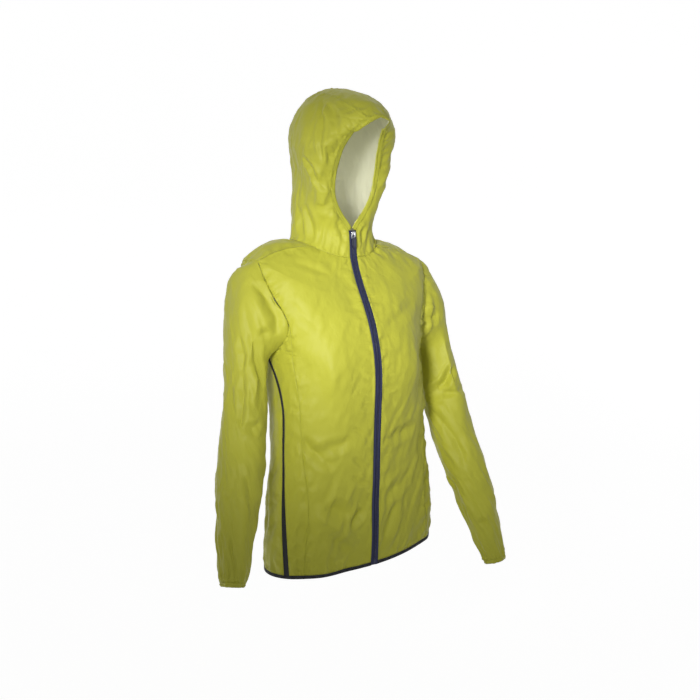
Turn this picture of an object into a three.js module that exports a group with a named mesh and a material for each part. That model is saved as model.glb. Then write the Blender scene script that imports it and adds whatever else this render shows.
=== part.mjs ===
// A hooded windbreaker jacket, filled out as it is worn, hood up and zip closed.
// Millimetres, +Z up. The front faces -Y and the wearer's left is +X.
// The origin is between the shoulders, on the axis of the neck.
import * as THREE from "three";

// Cloth and seams
const WALL = 1.4; // thickness of every cloth wall
const SEAM_GAP = 0.3; // open seam between neighbouring pieces
const BAND_WALL = 2.6; // folded elastic bands
const LONGEST_MITRE = 1.6; // how far a mitred inner edge may reach, in walls

// Zip
const ZIP_HALF = 7.4; // from the middle of the zip to the edge of a front
const COIL_HALF = 1.7;
const COIL_HEIGHT = 1.6; // how thick the coil is
const COIL_RISE = 0.4; // how far the coil stands over its tapes
const TAPE_WALL = 1.2;

// Bands
const HEM_BAND = 6.5; // width of the hem binding
const CUFF_BAND = 9;
const HOOD_BAND = 9;

// How finely the pieces are divided
const ARMHOLE_STEPS = 10; // from the underarm to the top of the armhole
const FRONT_COLUMNS = 6;
const SIDE_COLUMNS = 3;
const BACK_COLUMNS = 20;
const CROWN_COLUMNS = 4;
const HOOD_ROWS = 20;
const ZIP_HOOD_ROWS = 4; // hood rows that lie along the zip
const CAP_ROWS = 7;
const ARM_ROWS = 18;

// Rings round the body, from the hem up. frontZ, sideZ and backZ are the ring's
// height at the zip, at the side and at the back. front and back are how far the
// ring reaches forward of the neck axis, widest is where it is widest, and lean
// moves it to the wearer's left. tilt is how much higher its left side is than
// its middle. princess and stripe are the angles of the bust seam and of the
// side stripe, from the zip.
const RINGS = [
  { at: "hem", frontZ: -583, sideZ: -576, backZ: -559, half: 177, front: 143, back: -48, widest: 46, lean: 11, tilt: 23, princess: 48, stripe: 64 },
  { at: "low hip", frontZ: -528, sideZ: -522, backZ: -512, half: 176, front: 149, back: -51, widest: 49, lean: 10, tilt: 13, princess: 47, stripe: 67 },
  { at: "hip", frontZ: -463, sideZ: -460, backZ: -455, half: 171, front: 152, back: -51, widest: 52, lean: 9, tilt: 8, princess: 46, stripe: 71 },
  { at: "high hip", frontZ: -400, sideZ: -398, backZ: -396, half: 162, front: 155, back: -48, widest: 55, lean: 8, tilt: 3, princess: 53, stripe: 76 },
  { at: "waist", frontZ: -345, sideZ: -345, backZ: -345, half: 158, front: 158, back: -50, widest: 55, lean: 7, tilt: 0, princess: 58, stripe: 79 },
  { at: "ribs", frontZ: -285, sideZ: -285, backZ: -285, half: 156, front: 163, back: -62, widest: 50, lean: 6, tilt: 0, princess: 59, stripe: 78 },
  { at: "bust", frontZ: -230, sideZ: -230, backZ: -230, half: 156, front: 167, back: -80, widest: 40, lean: 5, tilt: 0, princess: 62, stripe: 84 },
  { at: "underarm", frontZ: -188, sideZ: -188, backZ: -188, half: 158, front: 165, back: -94, widest: 30, lean: 3, tilt: 0, princess: 64, stripe: 91 },
  { at: "mid arm", frontZ: -140, sideZ: -124, backZ: -132, half: 172, front: 152, back: -102, widest: 21, lean: 2, tilt: 0, princess: 65, stripe: 92 },
  { at: "upper arm", frontZ: -106, sideZ: -60, backZ: -88, half: 187, front: 136, back: -101, widest: 14, lean: 1, tilt: 0, princess: 65, stripe: 92 },
  { at: "shoulder tip", frontZ: -80, sideZ: -14, backZ: -52, half: 184, front: 121, back: -95, widest: 10, lean: 0, tilt: -2, princess: 65, stripe: 92 },
  { at: "shoulder", frontZ: -54, sideZ: 6, backZ: -22, half: 152, front: 104, back: -87, widest: 6, lean: 0, tilt: -4, princess: 65, stripe: 92 },
  { at: "collar", frontZ: -32, sideZ: 19, backZ: 2, half: 117, front: 93, back: -76, widest: 4, lean: 0, tilt: -4, princess: 65, stripe: 92 },
  { at: "neck", frontZ: -12, sideZ: 20, backZ: 14, half: 85, front: 85, back: -66, widest: 4, lean: 0, tilt: 0, princess: 65, stripe: 92 },
];
const RING_SQUARENESS = 0.9; // 1 is an ellipse, less is squarer
const UNDERARM_RING = 7;
const SHOULDER_TIP_RING = 10;
const NECK_RING = RINGS.length - 1;
const BODY_ROWS_BELOW_ARM = 14;
const BODY_ROWS_OVER_SHOULDER = 4;

// Armhole, as an oval over the rings between the underarm and the shoulder tip
const ARMHOLE_MIDDLE = { bottom: 92, top: 76 }; // angle of the oval's middle
const ARMHOLE_BACK = 33; // how far its back edge lies behind that, as an angle
const ARMHOLE_FRONT = [0, 10, 19.5, 27, 30.5, 25.5, 17.5, 11.5, 7, 3.2, 0]; // and its front edge, at each step up
const ARMHOLE_PRINCESS_STEP = 4; // where the bust seam leaves the armhole
const SIDE_FRONT_TIP = 0.75; // how far the side front's tip reaches to where the bust seam meets the armhole
const SIDE_FRONT_SLIM = 0.2; // how much its tip is narrowed, clear of the front
const SHOULDER_SEAM_AT_NECK = 52; // angle of the forward shoulder seam at the neck
const STRIPE_HALF = [ // half the width of the side stripe, up from the hem
  { z: -620, half: 5.6 },
  { z: -480, half: 4.6 },
  { z: -420, half: 2.6 },
  { z: -300, half: 2.6 },
  { z: -188, half: 4.4 },
];

// Shaped cups over the bust, one on each side
const CUP = { angle: 29, z: -212, rise: 13, spread: 34, tall: 52 };

// Largest folds of the body. Each runs from (angle, z) to (angle, z), is that
// wide and that deep. A fold with a minus depth is a trough.
const BODY_FOLDS = [
  { name: "trough beside the zip", fromAngle: -6, fromZ: -470, toAngle: -16, toZ: -575, wide: 17, depth: -6 },
  { name: "swell over the hip", fromAngle: -40, fromZ: -500, toAngle: -34, toZ: -590, wide: 24, depth: 4 },
  { name: "waist dent, right", fromAngle: -78, fromZ: -330, toAngle: -50, toZ: -372, wide: 15, depth: -4 },
  { name: "waist dent, left", fromAngle: 70, fromZ: -322, toAngle: 44, toZ: -360, wide: 15, depth: -4 },
  { name: "underarm pull, right", fromAngle: -58, fromZ: -186, toAngle: -36, toZ: -260, wide: 12, depth: -4 },
  { name: "underarm pull, left", fromAngle: 58, fromZ: -186, toAngle: 40, toZ: -255, wide: 12, depth: -4 },
  { name: "side swell, left", fromAngle: 62, fromZ: -440, toAngle: 50, toZ: -560, wide: 22, depth: 4 },
  { name: "back fold, left", fromAngle: 158, fromZ: -150, toAngle: 166, toZ: -340, wide: 17, depth: 5 },
  { name: "back fold, right", fromAngle: 205, fromZ: -140, toAngle: 196, toZ: -350, wide: 18, depth: 5 },
  { name: "back waist trough, left", fromAngle: 132, fromZ: -310, toAngle: 152, toZ: -372, wide: 15, depth: -5 },
  { name: "back waist trough, right", fromAngle: 226, fromZ: -318, toAngle: 208, toZ: -380, wide: 15, depth: -5 },
  { name: "back hem swell, left", fromAngle: 150, fromZ: -440, toAngle: 146, toZ: -590, wide: 24, depth: 5 },
  { name: "back hem swell, right", fromAngle: 212, fromZ: -450, toAngle: 218, toZ: -590, wide: 24, depth: 5 },
];

// Arm rings, from the upper arm to the cuff: the middle of the sleeve, its half
// width across and its half depth from front to back, for the wearer's left.
const ARM_RINGS = [
  { at: "upper arm", x: 206, forward: 34, z: -206, across: 38, deep: 53 },
  { at: "over elbow", x: 214, forward: 50, z: -262, across: 39, deep: 50 },
  { at: "elbow", x: 225, forward: 66, z: -320, across: 42, deep: 48 },
  { at: "under elbow", x: 239, forward: 85, z: -384, across: 42, deep: 46 },
  { at: "forearm", x: 254, forward: 105, z: -448, across: 40, deep: 43 },
  { at: "low forearm", x: 268, forward: 124, z: -512, across: 36, deep: 37 },
  { at: "wrist", x: 282, forward: 143, z: -580, across: 29, deep: 30 },
  { at: "cuff", x: 289, forward: 152, z: -616, across: 23, deep: 26 },
];
// The right forearm is carried further forward, so its cuff ends higher.
const RIGHT_CUFF_SHIFT = { x: 4, forward: 14, z: 52 };
const ARM_LENGTH = 430; // from the first ring to the cuff
const ARM_RADIUS = 50; // turns an angle round the arm into a length
const ARM_LEAN = 5; // how far the upper arms are moved to the wearer's left
const CAP_LIFT = { bottom: 80, top: 170 }; // how strongly the sleeve head stands out from the armhole
const CAP_LANDING = 140; // how strongly it lines up with the arm

// Largest folds of a sleeve. turn goes round the arm in degrees: 0 towards the
// body, 90 in front, 180 outside. along is 0 at the upper arm and 1 at the cuff.
const SLEEVE_FOLDS = {
  right: [
    { name: "front shoulder fold", fromTurn: 118, fromAlong: -0.25, toTurn: 96, toAlong: 0.14, wide: 13, depth: 5 },
    { name: "trough beside it", fromTurn: 96, fromAlong: -0.18, toTurn: 72, toAlong: 0.2, wide: 12, depth: -6 },
    { name: "outer long trough", fromTurn: 150, fromAlong: 0.1, toTurn: 128, toAlong: 0.5, wide: 13, depth: -4 },
    { name: "elbow crease, inner", fromTurn: 40, fromAlong: 0.3, toTurn: 120, toAlong: 0.36, wide: 11, depth: -5 },
    { name: "elbow swell", fromTurn: 60, fromAlong: 0.42, toTurn: 140, toAlong: 0.46, wide: 16, depth: 4 },
    { name: "forearm long fold", fromTurn: 100, fromAlong: 0.5, toTurn: 84, toAlong: 0.95, wide: 12, depth: 3.5 },
    { name: "forearm trough", fromTurn: 140, fromAlong: 0.55, toTurn: 120, toAlong: 0.9, wide: 12, depth: -3.5 },
    { name: "back elbow fold", fromTurn: 230, fromAlong: 0.25, toTurn: 290, toAlong: 0.33, wide: 14, depth: -5 },
    { name: "back forearm fold", fromTurn: 250, fromAlong: 0.5, toTurn: 240, toAlong: 0.88, wide: 14, depth: 4 },
  ],
  left: [
    { name: "front shoulder fold", fromTurn: 112, fromAlong: -0.22, toTurn: 88, toAlong: 0.18, wide: 13, depth: 5 },
    { name: "trough beside it", fromTurn: 88, fromAlong: -0.16, toTurn: 66, toAlong: 0.22, wide: 12, depth: -6 },
    { name: "elbow crease, high", fromTurn: 30, fromAlong: 0.26, toTurn: 118, toAlong: 0.4, wide: 12, depth: -6 },
    { name: "elbow crease, crossing", fromTurn: 40, fromAlong: 0.46, toTurn: 130, toAlong: 0.34, wide: 12, depth: -5 },
    { name: "elbow swell", fromTurn: 100, fromAlong: 0.28, toTurn: 170, toAlong: 0.3, wide: 16, depth: 4 },
    { name: "forearm dent", fromTurn: 150, fromAlong: 0.74, toTurn: 96, toAlong: 0.8, wide: 14, depth: -5 },
    { name: "forearm swell", fromTurn: 110, fromAlong: 0.55, toTurn: 130, toAlong: 0.7, wide: 18, depth: 3.5 },
    { name: "back elbow fold", fromTurn: 226, fromAlong: 0.28, toTurn: 292, toAlong: 0.35, wide: 14, depth: -5 },
    { name: "back forearm fold", fromTurn: 244, fromAlong: 0.52, toTurn: 250, toAlong: 0.9, wide: 14, depth: 4 },
  ],
};

// Guide curves of the hood for the wearer's left, as [x, forward, z] for each
// row, from the neck seam up and over to the brim. edge is the zip and then the
// face opening, crown is the seam of the centre strip.
const HOOD_GUIDES = [
  { edge: [ZIP_HALF, 85, -12], front: [47, 70, -6], side: [84, 6, 15], rear: [64, -42, 15], crown: [27, -64, 14] },
  { edge: [ZIP_HALF, 83, 14], front: [46, 69, 18], side: [79, 6, 31], rear: [63, -41, 36], crown: [29, -65, 38] },
  { edge: [ZIP_HALF, 81, 38], front: [46, 70, 42], side: [77, 7, 54], rear: [63, -40, 60], crown: [32, -67, 66] },
  { edge: [25, 80, 60], front: [54, 74, 66], side: [75, 11, 80], rear: [62, -41, 92], crown: [36, -74, 104] },
  { edge: [44, 83, 92], front: [67, 77, 98], side: [77, 20, 115], rear: [64, -39, 135], crown: [39, -76, 148] },
  { edge: [50, 88, 122], front: [76, 84, 129], side: [83, 28, 153], rear: [70, -39, 182], crown: [40, -76, 202] },
  { edge: [50, 96, 152], front: [79, 94, 162], side: [92, 40, 194], rear: [77, -25, 238], crown: [39, -59, 260] },
  { edge: [48, 105, 174], front: [78, 104, 186], side: [92, 62, 222], rear: [74, 14, 270], crown: [38, -14, 294] },
  { edge: [46, 114, 192], front: [72, 116, 202], side: [74, 98, 233], rear: [59, 74, 272], crown: [36, 50, 292] },
  { edge: [43, 124, 204], front: [55, 128, 215], side: [54, 132, 233], rear: [46, 129, 254], crown: [32, 120, 269] },
  { edge: [40, 135, 216], front: [36, 146, 223], side: [31, 156, 230], rear: [26, 164, 235], crown: [21, 170, 239] },
];
const CROWN_BULGE = 8;
const NECK_FADE = 0.16; // how far up the hood still follows the neck seam
const HOOD_TILT = 0.09; // the hood's left side sits a little higher

// Largest folds of the hood. across is 0 at the face edge and 1 at the crown
// seam, up is 0 at the neck and 1 at the brim.
const HOOD_FOLDS = {
  right: [
    { name: "long neck fold", fromAcross: 0.62, fromUp: 0.02, toAcross: 0.66, toUp: 0.3, wide: 0.05, depth: 4 },
    { name: "throat fold", fromAcross: 0.12, fromUp: 0.04, toAcross: 0.22, toUp: 0.24, wide: 0.045, depth: -3.5 },
    { name: "cheek crease", fromAcross: 0.55, fromUp: 0.5, toAcross: 0.14, toUp: 0.34, wide: 0.035, depth: -3.5 },
    { name: "temple fold", fromAcross: 0.5, fromUp: 0.82, toAcross: 0.1, toUp: 0.6, wide: 0.04, depth: -4 },
    { name: "brim fold", fromAcross: 0.82, fromUp: 0.84, toAcross: 0.3, toUp: 0.82, wide: 0.04, depth: -4 },
  ],
  left: [
    { name: "long neck fold", fromAcross: 0.6, fromUp: 0.02, toAcross: 0.68, toUp: 0.28, wide: 0.05, depth: 4 },
    { name: "throat fold", fromAcross: 0.14, fromUp: 0.04, toAcross: 0.2, toUp: 0.22, wide: 0.045, depth: -3.5 },
    { name: "cheek crease", fromAcross: 0.5, fromUp: 0.46, toAcross: 0.16, toUp: 0.36, wide: 0.04, depth: -3 },
    { name: "temple fold", fromAcross: 0.55, fromUp: 0.8, toAcross: 0.14, toUp: 0.62, wide: 0.04, depth: -4 },
  ],
};

const LIME = "#c6c93f";
const CHARCOAL = "#2b2c2e";
const NAVY = "#2e3356";
const METAL = "#c9cbd0";

const radians = THREE.MathUtils.degToRad;
const lerp = THREE.MathUtils.lerp;
const clamp = THREE.MathUtils.clamp;

/** A point from how far right-to-left, forward and up it is. */
function place(x, forward, z) {
  return new THREE.Vector3(x, -forward, z);
}

/** A smooth value through four neighbouring table values. */
function smoothThrough(before, from, to, after, t) {
  const leaving = (to - before) / 2;
  const arriving = (after - from) / 2;
  const t2 = t * t;
  const t3 = t2 * t;
  return (2 * t3 - 3 * t2 + 1) * from + (t3 - 2 * t2 + t) * leaving
    + (3 * t2 - 2 * t3) * to + (t3 - t2) * arriving;
}

/** Every numeric column of a table at a place between its rows. */
function tableAt(table, at) {
  const last = table.length - 1;
  const row = clamp(Math.floor(at), 0, last - 1);
  const t = at - row;
  const result = {};
  for (const [column, value] of Object.entries(table[row])) {
    if (typeof value !== "number") continue;
    const from = value;
    const to = table[row + 1][column];
    const before = row > 0 ? table[row - 1][column] : 2 * from - to;
    const after = row + 2 <= last ? table[row + 2][column] : 2 * to - from;
    result[column] = smoothThrough(before, from, to, after, t);
  }
  return result;
}

/** Half the width of the side stripe at a height. */
function stripeHalfAt(z) {
  let upper = STRIPE_HALF.findIndex((row) => row.z > z);
  if (upper < 1) upper = upper < 0 ? STRIPE_HALF.length - 1 : 1;
  const from = STRIPE_HALF[upper - 1];
  const to = STRIPE_HALF[upper];
  return lerp(from.half, to.half, clamp((z - from.z) / (to.z - from.z), 0, 1));
}

/** How strongly a fold shows at a point, from 0 to 1, in a plane of its own. */
function foldStrength(u, v, fromU, fromV, toU, toV, wide) {
  const du = toU - fromU;
  const dv = toV - fromV;
  const along = clamp(((u - fromU) * du + (v - fromV) * dv) / (du * du + dv * dv), 0, 1);
  const aside = Math.hypot(u - fromU - along * du, v - fromV - along * dv);
  return Math.exp(-((aside / wide) ** 2));
}

// The body

const signedPower = (value, power) => Math.sign(value) * Math.abs(value) ** power;

/** A point of the plain body at an angle from the zip and a place up the rings. */
function plainBody(angle, up) {
  const ring = tableAt(RINGS, up);
  const s = Math.sin(radians(angle));
  const c = Math.cos(radians(angle));
  const reach = c > 0 ? ring.front - ring.widest : ring.widest - ring.back;
  const endZ = c > 0 ? ring.frontZ : ring.backZ;
  return place(
    ring.lean + ring.half * signedPower(s, RING_SQUARENESS),
    ring.widest + reach * signedPower(c, RING_SQUARENESS),
    lerp(ring.sideZ, endZ, c * c) + ring.tilt * s,
  );
}

/** The outward direction of the plain body. */
function bodyNormal(angle, up) {
  const step = 0.5;
  const low = Math.max(up - 0.02, 0);
  const high = Math.min(up + 0.02, NECK_RING);
  const round = plainBody(angle + step, up).sub(plainBody(angle - step, up));
  const rise = plainBody(angle, high).sub(plainBody(angle, low));
  return round.cross(rise).normalize();
}

/** A point of the jacket's body, with its cups and its largest folds. */
function bodyPoint(angle, up) {
  const point = plainBody(angle, up);
  const mid = (RINGS[4].half + RINGS[4].front) / 2; // turns an angle into a length
  let rise = 0;
  for (const side of [-1, 1]) {
    const round = radians(angle - side * CUP.angle) * mid;
    rise += CUP.rise * Math.exp(-((round / CUP.spread) ** 2) - ((point.z - CUP.z) / CUP.tall) ** 2);
  }
  for (const fold of BODY_FOLDS) {
    for (const turn of [0, 360]) {
      rise += fold.depth * foldStrength(
        radians(angle + turn) * mid, point.z,
        radians(fold.fromAngle) * mid, fold.fromZ,
        radians(fold.toAngle) * mid, fold.toZ, fold.wide,
      );
    }
  }
  return point.addScaledVector(bodyNormal(angle, up), rise);
}

/** The angle at which the body is a given distance from its middle line. */
function angleAside(distance, up) {
  const ring = tableAt(RINGS, up);
  return THREE.MathUtils.radToDeg(Math.asin((distance / ring.half) ** (1 / RING_SQUARENESS)));
}

/** Rows of the body: even below the armhole, then the armhole's own, then over the shoulder. */
function bodyRows() {
  const rows = [];
  for (let i = 0; i < BODY_ROWS_BELOW_ARM; i += 1) {
    rows.push((UNDERARM_RING * i) / BODY_ROWS_BELOW_ARM);
  }
  for (let j = 0; j <= ARMHOLE_STEPS; j += 1) {
    const share = (1 - Math.cos((Math.PI * j) / ARMHOLE_STEPS)) / 2;
    rows.push(lerp(UNDERARM_RING, SHOULDER_TIP_RING, share));
  }
  for (let k = 1; k <= BODY_ROWS_OVER_SHOULDER; k += 1) {
    rows.push(lerp(SHOULDER_TIP_RING, NECK_RING, k / BODY_ROWS_OVER_SHOULDER));
  }
  return rows;
}
const ROWS = bodyRows();
const UNDERARM_ROW = BODY_ROWS_BELOW_ARM;
const TOP_OF_ARMHOLE_ROW = UNDERARM_ROW + ARMHOLE_STEPS;

/** Angle of the armhole's front (-1) or back (1) edge at a step up from the underarm. */
function armholeAngle(step, edge) {
  const share = (1 - Math.cos((Math.PI * step) / ARMHOLE_STEPS)) / 2;
  const middle = lerp(ARMHOLE_MIDDLE.bottom, ARMHOLE_MIDDLE.top, share);
  if (edge < 0) return middle - ARMHOLE_FRONT[step];
  return middle + ARMHOLE_BACK * Math.sin((Math.PI * step) / ARMHOLE_STEPS);
}

/** Angle of the stripe's front (-1) or back (1) edge on a row. */
function stripeAngle(row, edge) {
  const up = ROWS[row];
  const middle = tableAt(RINGS, up).stripe;
  const here = plainBody(middle, up);
  const perDegree = plainBody(middle + 0.5, up).distanceTo(plainBody(middle - 0.5, up));
  return middle + (edge * stripeHalfAt(here.z)) / perDegree;
}

/** Angle of the outer edge of a front on a row: bust seam, armhole, shoulder seam. */
function frontOuterAngle(row) {
  const princessRow = UNDERARM_ROW + ARMHOLE_PRINCESS_STEP;
  if (row < princessRow) {
    const seam = tableAt(RINGS, ROWS[row]).princess;
    const meeting = armholeAngle(ARMHOLE_PRINCESS_STEP, -1);
    const near = clamp((row - UNDERARM_ROW + 3) / (ARMHOLE_PRINCESS_STEP + 3), 0, 1);
    return lerp(seam, meeting, near * near);
  }
  if (row <= TOP_OF_ARMHOLE_ROW) return armholeAngle(row - UNDERARM_ROW, -1);
  const share = (row - TOP_OF_ARMHOLE_ROW) / BODY_ROWS_OVER_SHOULDER;
  return lerp(ARMHOLE_MIDDLE.top, SHOULDER_SEAM_AT_NECK, share);
}

/** Angle of the front edge of the back on a row: stripe, armhole, shoulder seam. */
function backOuterAngle(row) {
  if (row <= UNDERARM_ROW) return stripeAngle(row, 1);
  if (row <= TOP_OF_ARMHOLE_ROW) return armholeAngle(row - UNDERARM_ROW, 1);
  return frontOuterAngle(row);
}

/** A grid of body points between two angles on each row, in rising angle. */
function bodyGrid(firstRow, lastRow, columns, angles, side) {
  const grid = [];
  for (let row = firstRow; row <= lastRow; row += 1) {
    const [inner, outer] = angles(row);
    const line = [];
    for (let column = 0; column <= columns; column += 1) {
      line.push(bodyPoint(side * lerp(inner, outer, column / columns), ROWS[row]));
    }
    grid.push(side > 0 ? line : line.reverse());
  }
  return grid;
}

// Cloth walls. A piece is a grid of outer points, its rows going up and its
// columns going round so that their cross product points outwards.

const pieces = [];
const seamNormals = new Map();
const seamKey = (point) => point.toArray().map((value) => value.toFixed(3)).join(" ");

/** The outward direction at each point of a grid. */
function gridNormals(grid, closed) {
  const lastRow = grid.length - 1;
  return grid.map((line, row) => line.map((point, column) => {
    const count = line.length;
    const before = closed ? (column + count - 1) % count : Math.max(column - 1, 0);
    const after = closed ? (column + 1) % count : Math.min(column + 1, count - 1);
    const round = line[after].clone().sub(line[before]);
    const rise = grid[Math.min(row + 1, lastRow)][column].clone()
      .sub(grid[Math.max(row - 1, 0)][column]);
    return round.cross(rise).normalize();
  }));
}

/** Takes note of a piece of cloth, to be given its wall once all seams are known. */
function addCloth(name, grid, material, options = {}) {
  const normals = gridNormals(grid, options.closed ?? false);
  pieces.push({ name, grid, material, normals, wall: WALL, closed: false, ...options });
  grid.forEach((line, row) => line.forEach((point, column) => {
    const key = seamKey(point);
    if (!seamNormals.has(key)) seamNormals.set(key, []);
    seamNormals.get(key).push(normals[row][column]);
  }));
}

/** The direction in which pieces that meet at a point are mitred. */
function mitreAt(point, own) {
  const meeting = seamNormals.get(seamKey(point)) ?? [own];
  if (meeting.some((other) => other.dot(own) < 0.15)) return own.clone();
  const sum = new THREE.Vector3();
  meeting.forEach((other) => sum.add(other));
  return sum.normalize();
}

/** Moves a grid's edges in by half the seam gap, along the cloth. */
function insetEdges(grid, closed) {
  const lastRow = grid.length - 1;
  return grid.map((line, row) => line.map((point, column) => {
    const moved = point.clone();
    const towards = (other) => {
      const step = other.clone().sub(point).normalize();
      moved.addScaledVector(step, SEAM_GAP / 2);
    };
    if (row === 0) towards(grid[1][column]);
    if (row === lastRow) towards(grid[lastRow - 1][column]);
    if (!closed && column === 0) towards(line[1]);
    if (!closed && column === line.length - 1) towards(line[line.length - 2]);
    return moved;
  }));
}

/** The closed solid of a piece of cloth: outer skin, inner skin and rims. */
function clothGeometry(piece) {
  const outer = insetEdges(piece.grid, piece.closed);
  const inner = outer.map((line, row) => line.map((point, column) => {
    const own = piece.normals[row][column];
    const mitre = mitreAt(piece.grid[row][column], own);
    const reach = Math.min(piece.wall / Math.max(mitre.dot(own), 0.2), piece.wall * LONGEST_MITRE);
    return point.clone().addScaledVector(mitre, -reach);
  }));
  const rows = outer.length;
  const columns = outer[0].length;
  const positions = [];
  for (const skin of [outer, inner]) {
    for (const line of skin) {
      for (const point of line) positions.push(point.x, point.y, point.z);
    }
  }
  const index = [];
  const at = (skin, row, column) => (skin * rows + row) * columns + (column % columns);
  const face = (a, b, c, d) => index.push(a, b, c, a, c, d);
  const spans = piece.closed ? columns : columns - 1;
  for (let row = 0; row < rows - 1; row += 1) {
    for (let column = 0; column < spans; column += 1) {
      const next = column + 1;
      face(at(0, row, column), at(0, row, next), at(0, row + 1, next), at(0, row + 1, column));
      face(at(1, row, column), at(1, row + 1, column), at(1, row + 1, next), at(1, row, next));
    }
  }
  for (let column = 0; column < spans; column += 1) {
    const next = column + 1;
    const top = rows - 1;
    face(at(0, 0, column), at(1, 0, column), at(1, 0, next), at(0, 0, next));
    face(at(0, top, column), at(0, top, next), at(1, top, next), at(1, top, column));
  }
  if (!piece.closed) {
    const end = columns - 1;
    for (let row = 0; row < rows - 1; row += 1) {
      face(at(0, row, 0), at(0, row + 1, 0), at(1, row + 1, 0), at(1, row, 0));
      face(at(0, row, end), at(1, row, end), at(1, row + 1, end), at(0, row + 1, end));
    }
  }
  const geometry = new THREE.BufferGeometry();
  geometry.setAttribute("position", new THREE.Float32BufferAttribute(positions, 3));
  geometry.setIndex(index);
  geometry.computeVertexNormals();
  return geometry;
}

const finishes = {
  shell: new THREE.MeshStandardMaterial({ color: LIME, roughness: 0.5, metalness: 0 }),
  binding: new THREE.MeshStandardMaterial({ color: CHARCOAL, roughness: 0.7, metalness: 0 }),
  tape: new THREE.MeshStandardMaterial({ color: NAVY, roughness: 0.75, metalness: 0 }),
  coil: new THREE.MeshStandardMaterial({ color: NAVY, roughness: 0.4, metalness: 0 }),
  metal: new THREE.MeshStandardMaterial({ color: METAL, roughness: 0.3, metalness: 1 }),
};

// Body panels

const LAST_ROW = ROWS.length - 1;
const sideName = (side) => (side > 0 ? "left" : "right");
const zipEdgeAngle = (row) => angleAside(ZIP_HALF, ROWS[row]);

function addBodyPanels() {
  for (const side of [-1, 1]) {
    const front = bodyGrid(0, LAST_ROW, FRONT_COLUMNS, (row) => [zipEdgeAngle(row), frontOuterAngle(row)], side);
    addCloth(`front_${sideName(side)}`, front, finishes.shell);

    const topRow = UNDERARM_ROW + ARMHOLE_PRINCESS_STEP - 1;
    const sideOuter = (row) => (row <= UNDERARM_ROW ? stripeAngle(row, -1) : armholeAngle(row - UNDERARM_ROW, -1));
    const sideFront = bodyGrid(0, topRow, SIDE_COLUMNS, (row) => [frontOuterAngle(row), sideOuter(row)], side);
    const meeting = bodyPoint(side * armholeAngle(ARMHOLE_PRINCESS_STEP, -1), ROWS[topRow + 1]);
    const tip = sideFront[topRow].map((point) => point.clone().lerp(meeting, SIDE_FRONT_TIP));
    const atArmhole = (side > 0 ? tip[SIDE_COLUMNS] : tip[0]).clone();
    sideFront.push(tip.map((point) => point.lerp(atArmhole, SIDE_FRONT_SLIM)));
    addCloth(`side_front_${sideName(side)}`, sideFront, finishes.shell);

    const stripe = bodyGrid(0, UNDERARM_ROW, 1, (row) => [stripeAngle(row, -1), stripeAngle(row, 1)], side);
    addCloth(`side_stripe_${sideName(side)}`, stripe, finishes.binding);
  }
  const back = bodyGrid(0, LAST_ROW, BACK_COLUMNS, (row) => [backOuterAngle(row), 360 - backOuterAngle(row)], 1);
  addCloth("back", back, finishes.shell);
}

/** The points round the bottom or the top of the body, from the left side of the zip round the back. */
function ringOfPanels(row) {
  const named = (name) => pieces.find((piece) => piece.name === name).grid;
  const line = (name) => named(name)[row];
  const order = row === 0
    ? ["front_left", "side_front_left", "side_stripe_left", "back", "side_stripe_right", "side_front_right", "front_right"]
    : ["front_left", "back", "front_right"];
  const ring = [];
  for (const name of order) {
    for (const point of line(name)) {
      const last = ring[ring.length - 1];
      if (!last || last.distanceTo(point) > 0.01) ring.push(point.clone());
    }
  }
  return ring;
}

// Sleeves

/** The armhole's points for one side, from the front of the underarm over the top to its back. */
function armholeRing(side) {
  const ring = [];
  const add = (angle, row) => ring.push(bodyPoint(side * angle, ROWS[row]));
  add(stripeAngle(UNDERARM_ROW, -1), UNDERARM_ROW);
  for (let step = 1; step < ARMHOLE_STEPS; step += 1) add(armholeAngle(step, -1), UNDERARM_ROW + step);
  add(ARMHOLE_MIDDLE.top, TOP_OF_ARMHOLE_ROW);
  for (let step = ARMHOLE_STEPS - 1; step > 0; step -= 1) {
    ring.push(bodyPoint(side > 0 ? armholeAngle(step, 1) : 360 - armholeAngle(step, 1), ROWS[UNDERARM_ROW + step]));
  }
  ring.push(bodyPoint(side > 0 ? stripeAngle(UNDERARM_ROW, 1) : 360 - stripeAngle(UNDERARM_ROW, 1), ROWS[UNDERARM_ROW]));
  return ring;
}

/** A point round the arm at a place along its rings. */
function armPoint(turn, along, side) {
  const last = ARM_RINGS.length - 1;
  const ring = tableAt(ARM_RINGS, along * last);
  const carried = side < 0 ? Math.max(along, 0) ** 1.5 : 0;
  const ahead = tableAt(ARM_RINGS, Math.min(along * last + 0.1, last));
  const behind = tableAt(ARM_RINGS, Math.max(along * last - 0.1, 0));
  const axis = place(ahead.x - behind.x, ahead.forward - behind.forward, ahead.z - behind.z).normalize();
  const straightAhead = place(0, 1, 0);
  const forward = straightAhead.addScaledVector(axis, -straightAhead.dot(axis)).normalize();
  const outward = axis.clone().cross(forward).normalize();
  if (outward.x < 0) outward.negate();
  const angle = radians(turn);
  const folds = SLEEVE_FOLDS[sideName(side)];
  let rise = 0;
  for (const fold of folds) {
    rise += fold.depth * foldStrength(
      angle * ARM_RADIUS, along * ARM_LENGTH,
      radians(fold.fromTurn) * ARM_RADIUS, fold.fromAlong * ARM_LENGTH,
      radians(fold.toTurn) * ARM_RADIUS, fold.toAlong * ARM_LENGTH, fold.wide,
    );
  }
  const fade = clamp((1 - along) * 9, 0, 1); // folds die out in the cuff
  const across = ring.across + rise * fade;
  const deep = ring.deep + rise * fade;
  const shift = RIGHT_CUFF_SHIFT;
  const point = place(ring.x, ring.forward, ring.z)
    .addScaledVector(place(shift.x, shift.forward, shift.z), carried)
    .addScaledVector(outward, -across * Math.cos(angle))
    .addScaledVector(forward, deep * Math.sin(angle));
  point.x = point.x * side + ARM_LEAN * Math.max(1 - along, 0) ** 2;
  return point;
}

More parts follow.
